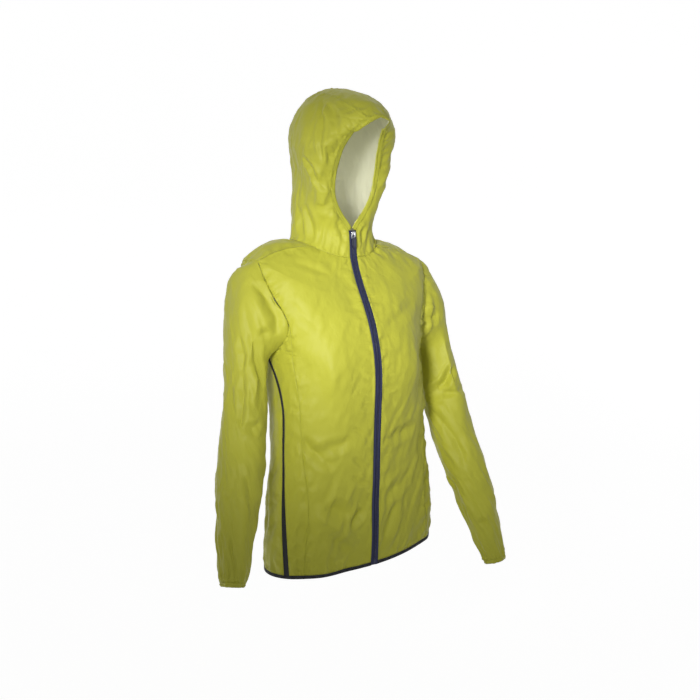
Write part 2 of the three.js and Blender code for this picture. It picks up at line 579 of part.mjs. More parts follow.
/** How high a turn round the armhole is: 0 at the underarm, 1 on top. */
function turnHeight(turn) {
  return (1 - Math.cos(radians(turn))) / 2;
}

/** The direction in which the sleeve leaves the armhole at a turn round it. */
function capDirection(turn, side) {
  const high = turnHeight(turn);
  const ahead = Math.sin(radians(turn));
  const front = ahead > 0 ? ahead * lerp(-1.1, 0.5, clamp(high * 1.5, 0, 1)) : ahead * 0.42;
  return place(side * lerp(0.75, 1, high), front, lerp(-0.75, -0.5, high)).normalize();
}

function addSleeves() {
  for (const side of [-1, 1]) {
    const armhole = armholeRing(side);
    const count = armhole.length;
    const turns = armhole.map((point, k) => ((k + 0.5) / count) * 360);
    const rows = [armhole];
    for (let row = 1; row < CAP_ROWS; row += 1) {
      const t = row / CAP_ROWS;
      rows.push(turns.map((turn, k) => {
        const from = armhole[k];
        const to = armPoint(turn, 0, side);
        const reach = from.distanceTo(to);
        const strength = lerp(CAP_LIFT.bottom, CAP_LIFT.top, turnHeight(turn));
        const lift = capDirection(turn, side).multiplyScalar(Math.min(strength, reach * 1.1));
        const landing = armPoint(turn, 0.06, side).sub(to).normalize().multiplyScalar(Math.min(CAP_LANDING, reach * 1.1));
        const t2 = t * t;
        const t3 = t2 * t;
        return from.clone().multiplyScalar(2 * t3 - 3 * t2 + 1)
          .addScaledVector(lift, t3 - 2 * t2 + t)
          .addScaledVector(to, 3 * t2 - 2 * t3)
          .addScaledVector(landing, t3 - t2);
      }));
    }
    for (let row = 0; row <= ARM_ROWS; row += 1) {
      rows.push(turns.map((turn) => armPoint(turn, row / ARM_ROWS, side)));
    }
    const grid = rows.map((line) => (side > 0 ? line : [...line].reverse())).reverse();
    addCloth(`sleeve_${sideName(side)}`, grid, finishes.shell, { closed: true });
    addCuffBand(side, grid);
  }
}

/** The elastic band below a sleeve, from the sleeve's last ring of points. */
function addCuffBand(side, sleeveGrid) {
  const edge = sleeveGrid[0];
  const above = sleeveGrid[1];
  const middle = new THREE.Vector3();
  edge.forEach((point) => middle.addScaledVector(point, 1 / edge.length));
  const lower = edge.map((point, k) => {
    const down = point.clone().sub(above[k]).normalize();
    const inward = middle.clone().sub(point).normalize();
    return point.clone().addScaledVector(down, CUFF_BAND).addScaledVector(inward, 1.5);
  });
  addCloth(`cuff_band_${sideName(side)}`, [lower, edge], finishes.shell, { closed: true, wall: BAND_WALL });
}

// Hem binding

function addHemBinding() {
  const edge = ringOfPanels(0);
  const lower = edge.map((point) => point.clone().add(new THREE.Vector3(0, 0, -HEM_BAND)));
  addCloth("hem_binding", [lower, edge], finishes.binding, { wall: BAND_WALL });
}

// Hood

const guideCurve = (guide) => new THREE.CatmullRomCurve3(
  HOOD_GUIDES.map((row) => place(...row[guide])), false, "centripetal",
);
const guides = Object.fromEntries(["edge", "front", "side", "rear", "crown"].map((guide) => [guide, guideCurve(guide)]));

/** A row of the hood's side, as a curve from the face edge to the crown seam. */
function hoodRow(up) {
  const points = Object.values(guides).map((curve) => curve.getPoint(up));
  return new THREE.CatmullRomCurve3(points, false, "centripetal");
}

/** How far along a line of points each one lies, from 0 to 1. */
function sharesAlong(points) {
  const lengths = [0];
  for (let k = 1; k < points.length; k += 1) {
    lengths.push(lengths[k - 1] + points[k].distanceTo(points[k - 1]));
  }
  return lengths.map((length) => length / lengths[lengths.length - 1]);
}

/** Tilts a hood point with its height, so that the hood's left side sits higher. */
function tiltHood(point) {
  const lifted = point.clone();
  lifted.z += point.x * HOOD_TILT * clamp(point.z / 200, 0, 1);
  return lifted;
}

/** Points of a hood side for the wearer's left or right, as rows from the neck up. */
function hoodSideGrid(side, neck) {
  const shares = sharesAlong(neck);
  const folds = HOOD_FOLDS[sideName(side)];
  const plain = [];
  for (let row = 0; row <= HOOD_ROWS; row += 1) {
    const curve = hoodRow(row / HOOD_ROWS);
    plain.push(shares.map((share) => {
      const point = curve.getPointAt(share);
      point.x *= side;
      return point;
    }));
  }
  const normals = gridNormals(plain, false);
  return plain.map((line, row) => line.map((point, k) => {
    const up = row / HOOD_ROWS;
    const hold = clamp(1 - up / NECK_FADE, 0, 1) ** 2;
    const moved = point.clone();
    let rise = 0;
    for (const fold of folds) {
      rise += fold.depth * foldStrength(shares[k], up, fold.fromAcross, fold.fromUp, fold.toAcross, fold.toUp, fold.wide);
    }
    const quiet = Math.min(1, 8 * up, 8 * shares[k], 8 * (1 - shares[k]), 8 * (1 - up)); // folds die out at the seams
    moved.addScaledVector(normals[row][k], side * rise * clamp(quiet, 0, 1));
    const onSeam = neck[k].clone().sub(plain[0][k]);
    if (k === 0) onSeam.x = 0;
    moved.addScaledVector(onSeam, hold);
    if (row === 0) moved.copy(neck[k]);
    if (k === 0 && row <= ZIP_HOOD_ROWS) moved.x = side * ZIP_HALF;
    return tiltHood(moved);
  }));
}

function addHood() {
  const neckRing = ringOfPanels(LAST_ROW);
  const crownStart = FRONT_COLUMNS + (BACK_COLUMNS - CROWN_COLUMNS) / 2;
  const leftNeck = neckRing.slice(0, crownStart + 1);
  const rightNeck = neckRing.slice(neckRing.length - crownStart - 1).reverse();
  const crownNeck = neckRing.slice(crownStart, crownStart + CROWN_COLUMNS + 1);
  const left = hoodSideGrid(1, leftNeck);
  const right = hoodSideGrid(-1, rightNeck);

  const crown = left.map((line, row) => {
    if (row === 0) return crownNeck.map((point) => point.clone());
    const from = line[line.length - 1];
    const to = right[row][line.length - 1];
    const up = row / HOOD_ROWS;
    const tangent = guides.crown.getTangent(up);
    const outward = new THREE.Vector3(0, tangent.z, -tangent.y).normalize();
    const hold = clamp(1 - up / NECK_FADE, 0, 1) ** 2;
    return crownNeck.map((point, k) => {
      const share = k / CROWN_COLUMNS;
      const bulge = CROWN_BULGE * (1 - (2 * share - 1) ** 2) * (1 - hold * 0.5);
      return from.clone().lerp(to, share).addScaledVector(outward, bulge);
    });
  });
  addCloth("hood_side_left", left, finishes.shell);
  addCloth("hood_side_right", right.map((line) => [...line].reverse()), finishes.shell);
  addCloth("hood_crown", crown, finishes.shell);
  return { left, right, crown };
}

/** The band round the face opening, from one side of the zip over the brim to the other. */
function addHoodBand({ left, right, crown }) {
  const edge = [];
  const inside = [];
  const add = (point, neighbour) => {
    const last = edge[edge.length - 1];
    if (last && last.distanceTo(point) < 0.01) return;
    edge.push(point.clone());
    inside.push(point.clone().sub(neighbour).normalize());
  };
  const top = HOOD_ROWS;
  for (let row = ZIP_HOOD_ROWS; row <= top; row += 1) add(left[row][0], left[row][1]);
  for (let k = 1; k < left[top].length; k += 1) add(left[top][k], left[top - 1][k]);
  for (let k = 1; k < CROWN_COLUMNS; k += 1) add(crown[top][k], crown[top - 1][k]);
  for (let k = right[top].length - 1; k > 0; k -= 1) add(right[top][k], right[top - 1][k]);
  for (let row = top; row >= ZIP_HOOD_ROWS; row -= 1) add(right[row][0], right[row][1]);

  const last = edge.length - 1;
  const inner = edge.map((point, k) => {
    const along = edge[Math.min(k + 1, last)].clone().sub(edge[Math.max(k - 1, 0)]).normalize();
    const aim = new THREE.Vector3();
    for (let n = Math.max(k - 2, 0); n <= Math.min(k + 2, last); n += 1) aim.add(inside[n]);
    aim.addScaledVector(along, -aim.dot(along)).normalize();
    const moved = point.clone().addScaledVector(aim, HOOD_BAND);
    moved.y += 1.5;
    if (Math.abs(moved.x) < 1.2) moved.x = 1.2 * Math.sign(point.x || 1);
    return moved;
  });
  addCloth("hood_edge_band", [edge, inner], finishes.shell, { wall: BAND_WALL });
}

// Zip

/** The middle line of the zip at each row, from the hem to its top in the hood. */
function zipLine(hood) {
  const line = [];
  for (let row = 0; row <= LAST_ROW; row += 1) {
    const left = bodyPoint(zipEdgeAngle(row), ROWS[row]);
    const right = bodyPoint(-zipEdgeAngle(row), ROWS[row]);
    line.push(left.add(right).multiplyScalar(0.5));
  }
  for (let row = 1; row <= ZIP_HOOD_ROWS; row += 1) {
    line.push(hood.left[row][0].clone().add(hood.right[row][0]).multiplyScalar(0.5));
  }
  line[0].z -= HEM_BAND - 0.3;
  return line;
}

/** A strip of the zip between two distances from its middle line. */
function zipStrip(name, line, from, to, lift, material, wall) {
  const grid = line.map((point, k) => {
    const above = line[Math.min(k + 1, line.length - 1)];
    const below = line[Math.max(k - 1, 0)];
    const outward = new THREE.Vector3(1, 0, 0).cross(above.clone().sub(below)).normalize();
    const base = point.clone().addScaledVector(outward, lift);
    return [base.clone().add(place(from, 0, 0)), base.clone().add(place(to, 0, 0))];
  });
  addCloth(name, grid, material, { wall });
}

/** A box with rounded corners, seen from the front, of a given thickness. */
function plate(width, height, thick, corner, hole) {
  const shape = new THREE.Shape();
  const w = width / 2;
  const h = height / 2;
  shape.moveTo(-w + corner, -h);
  shape.lineTo(w - corner, -h);
  shape.absarc(w - corner, -h + corner, corner, -Math.PI / 2, 0);
  shape.absarc(w - corner, h - corner, corner, 0, Math.PI / 2);
  shape.absarc(-w + corner, h - corner, corner, Math.PI / 2, Math.PI);
  shape.absarc(-w + corner, -h + corner, corner, Math.PI, Math.PI * 1.5);
  if (hole) {
    const gap = new THREE.Path();
    gap.absellipse(0, hole.up, hole.across / 2, hole.tall / 2, 0, Math.PI * 2, true);
    shape.holes.push(gap);
  }
  return new THREE.ExtrudeGeometry(shape, { depth: thick, bevelEnabled: false, curveSegments: 4 });
}

/** The slider's bridge, a staple that the pull tab hangs in, with its feet at z 0. */
function staple({ width, reach, cavity, wall }) {
  const half = cavity / 2;
  const shape = new THREE.Shape([
    new THREE.Vector2(-half - wall, 0), new THREE.Vector2(-half, 0),
    new THREE.Vector2(-half, reach - wall), new THREE.Vector2(half, reach - wall),
    new THREE.Vector2(half, 0), new THREE.Vector2(half + wall, 0),
    new THREE.Vector2(half + wall, reach), new THREE.Vector2(-half - wall, reach),
  ]);
  const geometry = new THREE.ExtrudeGeometry(shape, { depth: width, bevelEnabled: false });
  geometry.translate(0, 0, -width / 2);
  const right = new THREE.Vector3(1, 0, 0);
  const rise = new THREE.Vector3(0, 1, 0);
  const outward = new THREE.Vector3(0, 0, 1);
  return geometry.applyMatrix4(new THREE.Matrix4().makeBasis(rise, outward, right));
}

const SLIDER = { width: 9, height: 13, thick: 3.4, corner: 2.4, belowTop: 9 };
const BRIDGE = { width: 1.8, reach: 4.5, cavity: 3.2, wall: 1.2 };
const TAB = { width: 6.6, height: 24, thick: 1.6, corner: 2.6, barHalf: 1 };
const TAB_HOLE = { across: 4.2, tall: 4.8 };

/** Puts a mesh in front of the zip, upright along it, a distance below its top. */
function frontOfZip(mesh, line, below, lift) {
  const top = line[line.length - 1];
  const under = line[line.length - 3];
  const rise = top.clone().sub(under).normalize();
  const right = new THREE.Vector3(1, 0, 0);
  const outward = right.clone().cross(rise).normalize();
  mesh.position.copy(top).addScaledVector(rise, -below).addScaledVector(outward, lift);
  mesh.quaternion.setFromRotationMatrix(new THREE.Matrix4().makeBasis(right, rise, outward));
  return mesh;
}

/** The slider, its bridge and the pull tab that hangs in the bridge. */
function sliderParts(line) {
  const foot = COIL_RISE + SEAM_GAP;
  const face = foot + SLIDER.thick; // how far the slider's front stands out
  const hang = BRIDGE.cavity / 2; // the tab's top bar turns in the middle of the bridge
  const body = new THREE.Mesh(plate(SLIDER.width, SLIDER.height, SLIDER.thick, SLIDER.corner), finishes.metal);
  body.name = "zip_slider";
  frontOfZip(body, line, SLIDER.belowTop, foot);
  const bridge = new THREE.Mesh(staple(BRIDGE), finishes.metal);
  bridge.name = "zip_bridge";
  frontOfZip(bridge, line, SLIDER.belowTop, face + SEAM_GAP);
  const hole = { up: TAB.height / 2 - TAB.barHalf * 2 - TAB_HOLE.tall / 2, ...TAB_HOLE };
  const tab = new THREE.Mesh(plate(TAB.width, TAB.height, TAB.thick, TAB.corner, hole), finishes.metal);
  tab.name = "zip_pull_tab";
  const tabMiddle = SLIDER.belowTop + TAB.height / 2 - TAB.barHalf;
  frontOfZip(tab, line, tabMiddle, face + SEAM_GAP + hang - TAB.thick / 2);
  return [body, bridge, tab];
}

function addZip(hood) {
  const line = zipLine(hood);
  const edge = ZIP_HALF;
  zipStrip("zip_tape_left", line, COIL_HALF, edge, 0, finishes.tape, TAPE_WALL);
  zipStrip("zip_tape_right", line, -edge, -COIL_HALF, 0, finishes.tape, TAPE_WALL);
  zipStrip("zip_coil", line, -COIL_HALF, COIL_HALF, COIL_RISE, finishes.coil, COIL_HEIGHT);
  return line;
}

// The jacket

const jacket = new THREE.Group();
addBodyPanels();
addSleeves();
addHemBinding();
const hood = addHood();
addHoodBand(hood);
const zip = addZip(hood);
for (const piece of pieces) {
  const mesh = new THREE.Mesh(clothGeometry(piece), piece.material);
  mesh.name = piece.name;
  jacket.add(mesh);
}
jacket.add(...sliderParts(zip));

export default jacket;
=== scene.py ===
"""A hooded windbreaker jacket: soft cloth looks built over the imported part.

Every cloth piece is a merged copy of its part's mesh, subdivided and then creased:
both skins of the wall move together along the outward direction of the garment.
"""

import math

import bmesh
import bpy
import numpy as np
from bpy.props import FloatProperty, FloatVectorProperty, IntProperty, PointerProperty
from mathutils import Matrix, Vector
from mathutils.bvhtree import BVHTree
from mathutils.kdtree import KDTree


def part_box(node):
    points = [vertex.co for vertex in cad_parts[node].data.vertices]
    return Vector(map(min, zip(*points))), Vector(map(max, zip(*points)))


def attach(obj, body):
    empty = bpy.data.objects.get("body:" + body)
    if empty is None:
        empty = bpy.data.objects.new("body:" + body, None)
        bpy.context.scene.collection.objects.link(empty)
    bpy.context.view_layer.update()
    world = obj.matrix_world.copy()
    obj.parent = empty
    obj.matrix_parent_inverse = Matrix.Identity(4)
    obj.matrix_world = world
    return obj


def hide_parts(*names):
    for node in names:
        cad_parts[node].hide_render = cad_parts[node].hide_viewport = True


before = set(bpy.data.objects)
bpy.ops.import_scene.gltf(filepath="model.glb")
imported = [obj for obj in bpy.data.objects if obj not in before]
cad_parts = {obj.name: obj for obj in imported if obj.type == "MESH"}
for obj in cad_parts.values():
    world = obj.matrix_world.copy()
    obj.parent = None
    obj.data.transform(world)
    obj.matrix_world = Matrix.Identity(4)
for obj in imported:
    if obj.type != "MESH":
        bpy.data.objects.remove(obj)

bl_info = {
    "name": "Windbreaker jacket",
    "version": (1, 0, 0),
    "blender": (4, 5, 0),
    "location": "View3D > Sidebar > Jacket",
    "description": "Builds the cloth, zip, stitching and studio of a hooded windbreaker",
    "category": "Object",
}

MM = 0.001
SIDES = ("right", "left")
ROUND = {"right": 0.048, "left": 0.048, "body": 0.15, "hood": 0.1}  # mean radius of each part
JOIN = 2e-5  # points closer than this are one point
EDGE_TURN = math.radians(50)  # a sharper turn is the edge of a wall

# Settings


class JacketCloth(bpy.types.PropertyGroup):
    """How the thin nylon is divided and creased."""

    panel_level: IntProperty(
        name="Panel level",
        description="Subdivision of the panels",
        default=3,
        min=1,
        max=3,
    )
    band_level: IntProperty(
        name="Band level",
        description="Subdivision of the narrow bands",
        default=2,
        min=1,
        max=3,
    )
    drift: FloatProperty(
        name="Drift",
        description="Height of the broad unevenness of the cloth",
        default=2.4 * MM,
        unit="LENGTH",
    )
    crease: FloatProperty(
        name="Crease",
        description="Height of the long soft ridges",
        default=1.5 * MM,
        unit="LENGTH",
    )
    depth: FloatProperty(
        name="Depth",
        description="How deep the named creases are",
        default=1.9,
        min=0,
        max=4,
    )
    rumple: FloatProperty(
        name="Rumple",
        description="Height of the long crinkles above the hem",
        default=1.9 * MM,
        unit="LENGTH",
    )
    crinkle: FloatProperty(
        name="Crinkle",
        description="Height of the small crinkles",
        default=0.4 * MM,
        unit="LENGTH",
    )
    pucker: FloatProperty(
        name="Pucker",
        description="Height of the puckers beside a seam",
        default=2.8 * MM,
        unit="LENGTH",
    )
    gather: FloatProperty(
        name="Gather",
        description="Height of the gathers at an elastic edge",
        default=1.5 * MM,
        unit="LENGTH",
    )
    groove: FloatProperty(
        name="Groove",
        description="Depth of the dip along a seam",
        default=0.15 * MM,
        unit="LENGTH",
    )


class JacketThread(bpy.types.PropertyGroup):
    """The visible stitches."""

    stitch: FloatProperty(
        name="Stitch",
        description="Length of one stitch",
        default=2.6 * MM,
        unit="LENGTH",
    )
    pitch: FloatProperty(
        name="Pitch",
        description="Distance between stitches",
        default=3.5 * MM,
        unit="LENGTH",
    )
    thickness: FloatProperty(
        name="Thickness",
        description="Thread thickness",
        default=0.42 * MM,
        unit="LENGTH",
    )
    inset: FloatProperty(
        name="Inset",
        description="From the edge of a piece",
        default=2.2 * MM,
        unit="LENGTH",
    )


class JacketZip(bpy.types.PropertyGroup):
    """The zip's coil."""

    pitch: FloatProperty(
        name="Pitch",
        description="Distance between coil turns",
        default=1.9 * MM,
        unit="LENGTH",
    )
    reach: FloatProperty(
        name="Reach",
        description="How far a turn reaches",
        default=2.1 * MM,
        unit="LENGTH",
    )
    bar: FloatProperty(
        name="Bar",
        description="Width of one coil turn",
        default=1.3 * MM,
        unit="LENGTH",
    )
    proud: FloatProperty(
        name="Proud",
        description="Height of a coil turn",
        default=0.55 * MM,
        unit="LENGTH",
    )


class JacketStage(bpy.types.PropertyGroup):
    """Camera, floor and lamps."""

    azimuth: FloatProperty(
        name="Azimuth",
        description="Camera turn from the front",
        default=math.radians(-31),
        subtype="ANGLE",
    )
    elevation: FloatProperty(
        name="Elevation",
        description="Camera height angle",
        default=math.radians(7),
        subtype="ANGLE",
    )
    distance: FloatProperty(
        name="Distance",
        description="Camera to target",
        default=2.2,
        unit="LENGTH",
    )
    target: FloatVectorProperty(
        name="Target",
        description="Where the camera looks",
        default=(0.0317, -0.0191, -0.195),
        subtype="TRANSLATION",
    )
    lens: FloatProperty(name="Lens", description="Focal length in millimetres", default=58.0)
    floor: FloatProperty(
        name="Floor",
        description="Height of the floor",
        default=-1.0,
        unit="LENGTH",
    )
    key: FloatProperty(name="Key", description="Power of the main lamp in watts", default=1.1)
    spread: FloatProperty(
        name="Spread",
        description="How wide the main lamp shines",
        default=math.radians(38),
        subtype="ANGLE",
    )
    top: FloatProperty(name="Top", description="Strength of the light from above", default=0.22)
    hood: FloatProperty(
        name="Hood",
        description="Power of the lamp inside the hood in watts",
        default=0.16,
    )
    sky: FloatProperty(
        name="Sky",
        description="Strength of the light from all round",
        default=0.035,
    )
    paper: FloatProperty(
        name="Paper",
        description="Brightness of the floor in the picture",
        default=0.9,
    )


# Noise


SCATTER = (374761393, 668265263, 1440662683)  # large odd numbers that scatter the cells


def lattice(cell, seed):
    """A repeatable value from -1 to 1 at each whole-number cell."""
    mixed = cell @ np.array(SCATTER) + seed * 69069
    mixed = (mixed ^ (mixed >> 13)) * 1274126177
    mixed = mixed ^ (mixed >> 16)
    return (mixed & 0xFFFF) / 32767.5 - 1.0


def soft_noise(places, seed=0):
    """Smooth noise from -1 to 1 with features about one unit across."""
    cell = np.floor(places).astype(np.int64)
    share = places - cell
    share = share * share * share * (share * (share * 6 - 15) + 10)
    total = np.zeros(len(places))
    for corner in range(8):
        step = np.array([corner & 1, corner >> 1 & 1, corner >> 2 & 1])
        weight = np.prod(np.where(step == 1, share, 1 - share), axis=1)
        total += weight * lattice(cell + step, seed)
    return total


def ridges(places, seed=0):
    """Sharp rounded ridges, 0 between them and 1 on their crests."""
    return np.clip(1 - 2.2 * np.abs(soft_noise(places, seed)), 0, 1) ** 1.5


def ease(value, low, high):
    """0 below low, 1 above high, smooth between."""
    share = np.clip((value - low) / (high - low), 0, 1)
    return share * share * (3 - 2 * share)


# Cloth


def unit(rows):
    """Rows of vectors, each made one long."""
    return rows / np.maximum(np.linalg.norm(rows, axis=1, keepdims=True), 1e-12)


def halve_across(body):
    """Divides a front in two across its width, which has few points in the part."""
    wide = []
    for edge in body.edges:
        length = edge.calc_length()
        rise = abs(edge.verts[0].co.z - edge.verts[1].co.z)
        if length > 8 * MM and rise < 0.35 * length:
            wide.append(edge)
    bmesh.ops.subdivide_edges(body, edges=wide, cuts=1, use_grid_fill=True)


def merged_copy(node, name):
    """A merged copy of a part's mesh as quads, with faces marked outer 0, inner 1 and rim 2."""
    body = bmesh.new()
    body.from_mesh(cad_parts[node].data)
    bmesh.ops.remove_doubles(body, verts=body.verts, dist=JOIN)
    bmesh.ops.join_triangles(
        body,
        faces=body.faces,
        angle_face_threshold=math.radians(40),
        angle_shape_threshold=math.radians(50),
    )
    if node in ("front_right", "front_left"):
        halve_across(body)
    body.normal_update()
    crease = body.edges.layers.float.new("crease_edge")
    for edge in body.edges:
        if len(edge.link_faces) == 2 and edge.calc_face_angle(0) > EDGE_TURN:
            edge[crease] = 1.0
    islands = []
    left = set(body.faces)
    while left:
        first = left.pop()
        island = [first]
        for face in island:
            for edge in face.edges:
                if edge[crease] < 0.5:
                    for other in edge.link_faces:
                        if other in left:
                            left.discard(other)
                            island.append(other)
        islands.append(island)
    islands.sort(key=lambda island: -sum(face.calc_area() for face in island))
    if len(islands) < 3:
        raise RuntimeError(f"{node}: the wall has no clear skins and rim")
    for place, island in enumerate(islands):
        for face in island:
            face.material_index = min(place, 2)
            face.smooth = True
    mesh = bpy.data.meshes.new(name)
    body.to_mesh(mesh)
    body.free()
    piece = bpy.data.objects.new(name, mesh)
    bpy.context.scene.collection.objects.link(piece)
    return piece


def subdivide(piece, level):
    """Applies a subdivision surface of that level to the piece."""
    smooth = piece.modifiers.new("Smooth cloth", "SUBSURF")
    smooth.levels = level
    smooth.render_levels = level
    evaluated = piece.evaluated_get(bpy.context.evaluated_depsgraph_get())
    mesh = bpy.data.meshes.new_from_object(evaluated)
    piece.modifiers.clear()
    old = piece.data
    mesh.name = old.name
    piece.data = mesh
    bpy.data.meshes.remove(old)


SEAM_REACH = 0.00025  # how far each edge is pushed toward its neighbour, in metres


class Wall:
    """The points of a subdivided wall and their outward directions, in metres."""

    def __init__(self, piece):
        mesh = piece.data
        self.mesh = mesh
        self.points = np.empty(len(mesh.vertices) * 3)
        mesh.vertices.foreach_get("co", self.points)
        self.points = self.points.reshape(-1, 3)
        self.skin = np.empty(len(mesh.polygons), np.int32)
        mesh.polygons.foreach_get("material_index", self.skin)
        self.normals = np.empty(len(mesh.polygons) * 3)
        mesh.polygons.foreach_get("normal", self.normals)
        self.normals = self.normals.reshape(-1, 3)
        self.corner = np.empty(len(mesh.loops), np.int32)
        mesh.loops.foreach_get("vertex_index", self.corner)
        totals = np.empty(len(mesh.polygons), np.int32)
        mesh.polygons.foreach_get("loop_total", totals)
        self.corner_face = np.repeat(np.arange(len(mesh.polygons)), totals)
        sign = np.choose(self.skin, [1.0, -1.0, 0.0])
        out = np.zeros_like(self.points)
        pushed = (self.normals * sign[:, None])[self.corner_face]
        for axis in range(3):
            out[:, axis] = np.bincount(self.corner, pushed[:, axis], len(out))
        on_outer = np.bincount(self.corner, self.skin[self.corner_face] == 0, len(out)) > 0
        on_inner = np.bincount(self.corner, self.skin[self.corner_face] == 1, len(out)) > 0
        on_rim = np.bincount(self.corner, self.skin[self.corner_face] == 2, len(out)) > 0
        self.edge = on_outer & on_rim
        known = np.flatnonzero(on_outer | on_inner)
        loose = np.flatnonzero(~(on_outer | on_inner))
        if len(loose):
            tree = KDTree(len(known))
            for index in known:
                tree.insert(self.points[index], int(index))
            tree.balance()
            for index in loose:
                out[index] = out[tree.find(self.points[index])[1]]
        self.out = unit(out)
        self.close_seams()
        self.measure_edges()

    def close_seams(self):
        """Pushes the edge of the wall outward along the cloth, to meet the next piece."""
        away = np.zeros_like(self.points)
        on_rim = (self.skin == 2)[self.corner_face]
        for axis in range(3):
            share = np.where(on_rim, self.normals[self.corner_face, axis], 0)
            away[:, axis] = np.bincount(self.corner, share, len(away))
        away -= np.sum(away * self.out, axis=1, keepdims=True) * self.out
        self.points += SEAM_REACH * unit(away)

    def measure_edges(self):
        """Distance of each point from the piece's own edge, and the nearest point of that edge."""
        rim = np.flatnonzero(self.edge)
        tree = KDTree(len(rim))
        for index in rim:
            tree.insert(self.points[index], int(index))
        tree.balance()
        found = [tree.find(point) for point in self.points]
        self.edge_distance = np.array([item[2] for item in found])
        self.nearest_edge = np.array([item[1] for item in found])

    def move(self, height):
        """Moves both skins along the outward direction."""
        self.points += self.out * height[:, None]
        self.mesh.vertices.foreach_set("co", self.points.ravel())
        self.mesh.update()


def arm_axis(side):
    """Two points on the middle line of a sleeve, from its box."""
    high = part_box("sleeve_" + side)[1]
    cuff_low, cuff_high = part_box("cuff_band_" + side)
    cuff = (np.array(cuff_low) + np.array(cuff_high)) / 2
    sign = 1 if side == "left" else -1
    top = np.array([sign * 0.19, 0.0, high.z - 0.05])
    return top, cuff


def garment_place(places, part):
    """Places along, across and outward of a part of the garment, in metres."""
    if part in SIDES:
        top, cuff = arm_axis(part)
        down = (cuff - top) / np.linalg.norm(cuff - top)
        rest = places - top
        along = rest @ down
        radial = rest - along[:, None] * down
        forward = np.array([0.0, -1.0, 0.0])
        forward = forward - forward @ down * down
        forward /= np.linalg.norm(forward)
        aside = np.cross(down, forward)
        turn = np.arctan2(radial @ aside, radial @ forward)
        return turn * ROUND[part], along
    turn = np.arctan2(places[:, 0], -places[:, 1])
    return turn * ROUND[part], -places[:, 2]


# Creases that the photo shows: what each is, the part that it lies on, the pixels of the
# photo that it was seen to run through, and its width and height in millimetres. A crease
# with a minus height is a trough with a sharp bottom and a soft ridge on each side.
SEEN_CREASES = (
    ("side seam of the hood", "hood", [(323, 98), (322, 119), (320, 148), (324, 166)], 4, -2.4),
    ("crown fold", "hood", [(326, 103), (334, 115), (341, 130)], 5, -2.6),
    ("fold behind the brim", "hood", [(331, 118), (336, 131), (338, 143)], 4, -1.8),
    ("brim pull", "hood", [(326, 146), (331, 164)], 4, -1.8),
    ("cheek fold", "hood", [(301, 155), (309, 168), (325, 191)], 4.5, -3.0),
    ("rear neck fold", "hood", [(298, 205), (303, 237)], 6, -2.6),
    ("middle neck fold", "hood", [(306, 204), (313, 243)], 6, -2.8),
    ("throat fold", "hood", [(336, 220), (345, 243)], 4, -1.6),
    ("far throat fold", "hood", [(364, 226), (361, 243)], 3.5, -1.4),
    ("armhole hollow", "right", [(252.5, 282), (263.5, 293), (275.5, 315), (277.5, 336)], 9, -4.8),
    ("long sleeve fold", "right", [(244, 303), (251, 335), (256, 358), (265, 392)], 7, -2.7),
    ("outer sleeve fold", "right", [(239, 335), (243, 354), (241, 373)], 5, -2.6),
    ("fold to the elbow", "right", [(241, 373), (241, 400), (240, 430)], 5.5, -3.6),
    ("elbow bend", "right", [(240, 430), (253, 429), (261, 422)], 6, -2.8),
    ("back of the elbow", "right", [(230, 385), (230, 402), (237, 422)], 7, -2.4),
    ("underarm pull", "right", [(257, 336), (271, 331)], 5, -1.4),
    ("forearm fold", "right", [(246, 476), (253, 505)], 8, -2.6),
    ("outer forearm fold", "right", [(232, 489), (226, 500)], 6, -2.0),
    ("cuff fold", "right", [(223, 531), (222, 552)], 5, -1.8),
    ("far armhole hollow", "left", [(427, 293), (426, 314), (422, 335)], 7, -3.6),
    ("far underarm pull", "left", [(427, 321), (439, 313)], 8, -2.8),
    ("far elbow bend", "left", [(453, 364), (444, 383), (425, 396)], 5.5, -4.4),
    ("far elbow crossing", "left", [(463, 391), (441, 393), (425, 401)], 5.5, -3.4),
    ("far forearm fold", "left", [(428, 406), (455, 438), (467, 470)], 8, -2.6),
    ("far low sleeve fold", "left", [(449, 476), (467, 521)], 9, -2.6),
    ("far cuff fold", "left", [(478, 521), (488, 523)], 5, -2.4),
    ("upper hem trough", "body", [(325, 507), (350, 516)], 11, -4.1),
    ("hem ridge", "body", [(315, 513), (338, 531), (354, 546)], 7, 3.2),
    ("zip pull above the hem", "body", [(350, 528), (364, 509)], 6, -3.2),
    ("lower hem trough", "body", [(331, 534), (348, 552)], 11, -3.8),
    ("falling waist fold", "body", [(300, 440), (335, 470)], 9, -3.5),
    ("rising waist fold", "body", [(310, 455), (352, 440)], 8, -2.6),
    ("first zip pull", "body", [(353, 428), (369, 440)], 4, -1.6),
    ("second zip pull", "body", [(352, 458), (367, 468)], 4, -1.7),
    ("third zip pull", "body", [(350, 478), (369, 485)], 4, -1.7),
    ("far waist fold", "body", [(388, 440), (415, 425)], 8, -2.6),
    ("far low fold", "body", [(384, 500), (412, 470)], 9, -2.9),
    ("far hem fold", "body", [(384.5, 538), (398, 501)], 9, -3.2),
    ("shoulder fold", "body", [(294, 262), (330, 275)], 6, -1.2),
    ("chest fold", "body", [(286, 300), (320, 330)], 8, -1.0),
    ("far chest fold", "body", [(385, 330), (416, 300)], 8, -1.3),
)

